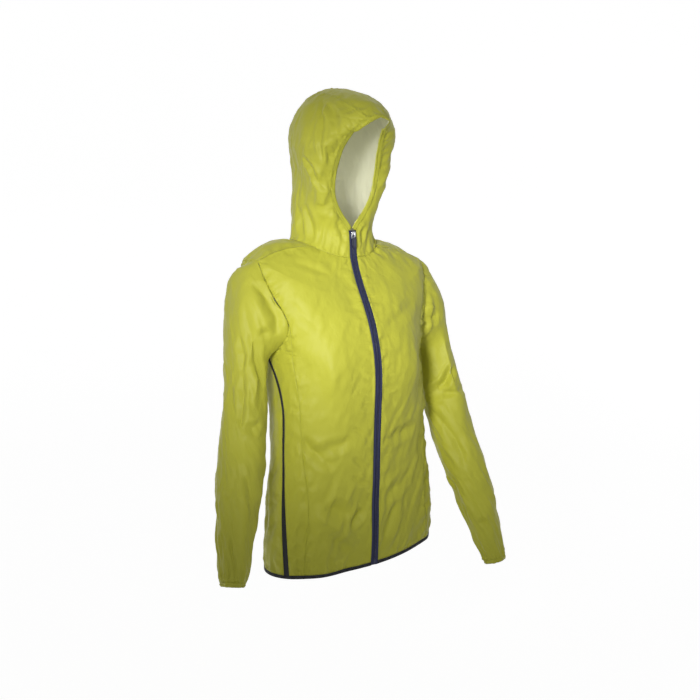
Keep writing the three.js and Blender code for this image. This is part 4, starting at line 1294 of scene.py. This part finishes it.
class JACKET_OT_stage(bpy.types.Operator):
    """Set up the floor, the lamps and the camera"""

    bl_idname = "jacket.stage"
    bl_label = "Set up the studio"

    def execute(self, context):
        scene = context.scene
        stage = scene.jacket_stage
        turn = stage.azimuth
        back = toward_camera(stage)
        data = bpy.data.cameras.new("Camera")
        data.lens = stage.lens
        data.sensor_width = FILM_WIDTH
        data.clip_end = 50
        camera = bpy.data.objects.new("Camera", data)
        scene.collection.objects.link(camera)
        target = Vector(stage.target)
        camera.location = target + back * stage.distance
        camera.rotation_euler = back.to_track_quat("Z", "Y").to_euler()
        scene.camera = camera
        right = Vector((math.cos(turn), math.sin(turn), 0))
        front = Vector((math.sin(turn), -math.cos(turn), 0))
        key = target + front * 1.55 - right * 0.35 + Vector((0, 0, 0.36))
        main = lamp("Main lamp", key, target + Vector((0, 0, 0.1)) + right * 0.09, 0.3, stage.key)
        main.data.spread = stage.spread
        self.hood_lamp(stage)
        self.backdrop(stage)
        self.surroundings(scene, stage)
        scene.view_settings.view_transform = "Standard"
        return {"FINISHED"}

    def hood_lamp(self, stage):
        """A small soft lamp inside the hood, for the daylight that comes through its thin cloth."""
        data = bpy.data.lights.new("Hood lamp", "POINT")
        data.shadow_soft_size = 0.03
        data.energy = stage.hood
        made = bpy.data.objects.new("Hood lamp", data)
        bpy.context.scene.collection.objects.link(made)
        low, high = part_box("hood_crown")
        made.location = (-0.03, (low.y + high.y) / 2 + 0.02, high.z - 0.17)
        made.visible_camera = False

    def backdrop(self, stage):
        """A pale floor that curves up into a wall on every side."""
        body = bmesh.new()
        line = [body.verts.new((radius, 0, stage.floor + height)) for radius, height in FLOOR_PROFILE]
        edges = [body.edges.new(pair) for pair in zip(line, line[1:])]
        bmesh.ops.spin(
            body,
            geom=line + edges,
            cent=(0, 0, 0),
            axis=(0, 0, 1),
            angle=2 * math.pi,
            steps=FLOOR_STEPS,
            use_merge=True,
        )
        middle = FLOOR_PROFILE[0][0] * 1.01
        inner = [edge for edge in body.edges if all(end.co.xy.length < middle for end in edge.verts)]
        bmesh.ops.edgeloop_fill(body, edges=inner)
        bmesh.ops.recalc_face_normals(body, faces=body.faces)
        mesh = bpy.data.meshes.new("backdrop")
        body.to_mesh(mesh)
        body.free()
        for face in mesh.polygons:
            face.use_smooth = True
        floor = bpy.data.objects.new("backdrop", mesh)
        bpy.context.scene.collection.objects.link(floor)
        material, tree, shader = new_material("Pale floor")
        shader.inputs["Base Color"].default_value = (0.25, 0.25, 0.25, 1.0)
        shader.inputs["Roughness"].default_value = 0.9
        shader.inputs["Specular IOR Level"].default_value = 0.0
        shader.inputs["Emission Color"].default_value = (1.0, 1.0, 1.0, 1.0)
        lit = tree.nodes.new("ShaderNodeLightPath").outputs["Is Diffuse Ray"]
        glow = maths(tree, "MULTIPLY_ADD", lit, stage.sky - stage.paper, stage.paper)
        tree.links.new(glow, shader.inputs["Emission Strength"])
        mesh.materials.append(material)

    def surroundings(self, scene, stage):
        """Even pale light from all round."""
        world = bpy.data.worlds.new("Studio")
        world.use_nodes = True
        background = world.node_tree.nodes["Background"]
        background.inputs["Color"].default_value = (1.0, 1.0, 1.0, 1.0)
        background.inputs["Strength"].default_value = stage.top
        scene.world = world


class JACKET_PT_panel(bpy.types.Panel):
    """Jacket pieces and settings"""

    bl_label = "Jacket"
    bl_idname = "JACKET_PT_panel"
    bl_space_type = "VIEW_3D"
    bl_region_type = "UI"
    bl_category = "Jacket"

    def draw(self, context):
        layout = self.layout
        for step in STEPS:
            layout.operator("jacket." + step)
        for name, group in GROUPS:
            settings = getattr(context.scene, name)
            box = layout.box()
            for key in group.__annotations__:
                box.prop(settings, key)


STEPS = ("body", "sleeves", "hood", "bands", "zip", "slider", "stitching", "stage")
GROUPS = (
    ("jacket_cloth", JacketCloth),
    ("jacket_thread", JacketThread),
    ("jacket_zip", JacketZip),
    ("jacket_stage", JacketStage),
)
OPERATORS = (
    JACKET_OT_body,
    JACKET_OT_sleeves,
    JACKET_OT_hood,
    JACKET_OT_bands,
    JACKET_OT_zip,
    JACKET_OT_slider,
    JACKET_OT_stitching,
    JACKET_OT_stage,
    JACKET_PT_panel,
)


def register():
    for name, group in GROUPS:
        bpy.utils.register_class(group)
        setattr(bpy.types.Scene, name, PointerProperty(type=group))
    for operator in OPERATORS:
        bpy.utils.register_class(operator)


def unregister():
    for operator in reversed(OPERATORS):
        bpy.utils.unregister_class(operator)
    for name, group in reversed(GROUPS):
        delattr(bpy.types.Scene, name)
        bpy.utils.unregister_class(group)


def main():
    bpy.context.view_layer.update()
    register()
    for step in STEPS:
        getattr(bpy.ops.jacket, step)()


if __name__ == "__main__":
    main()
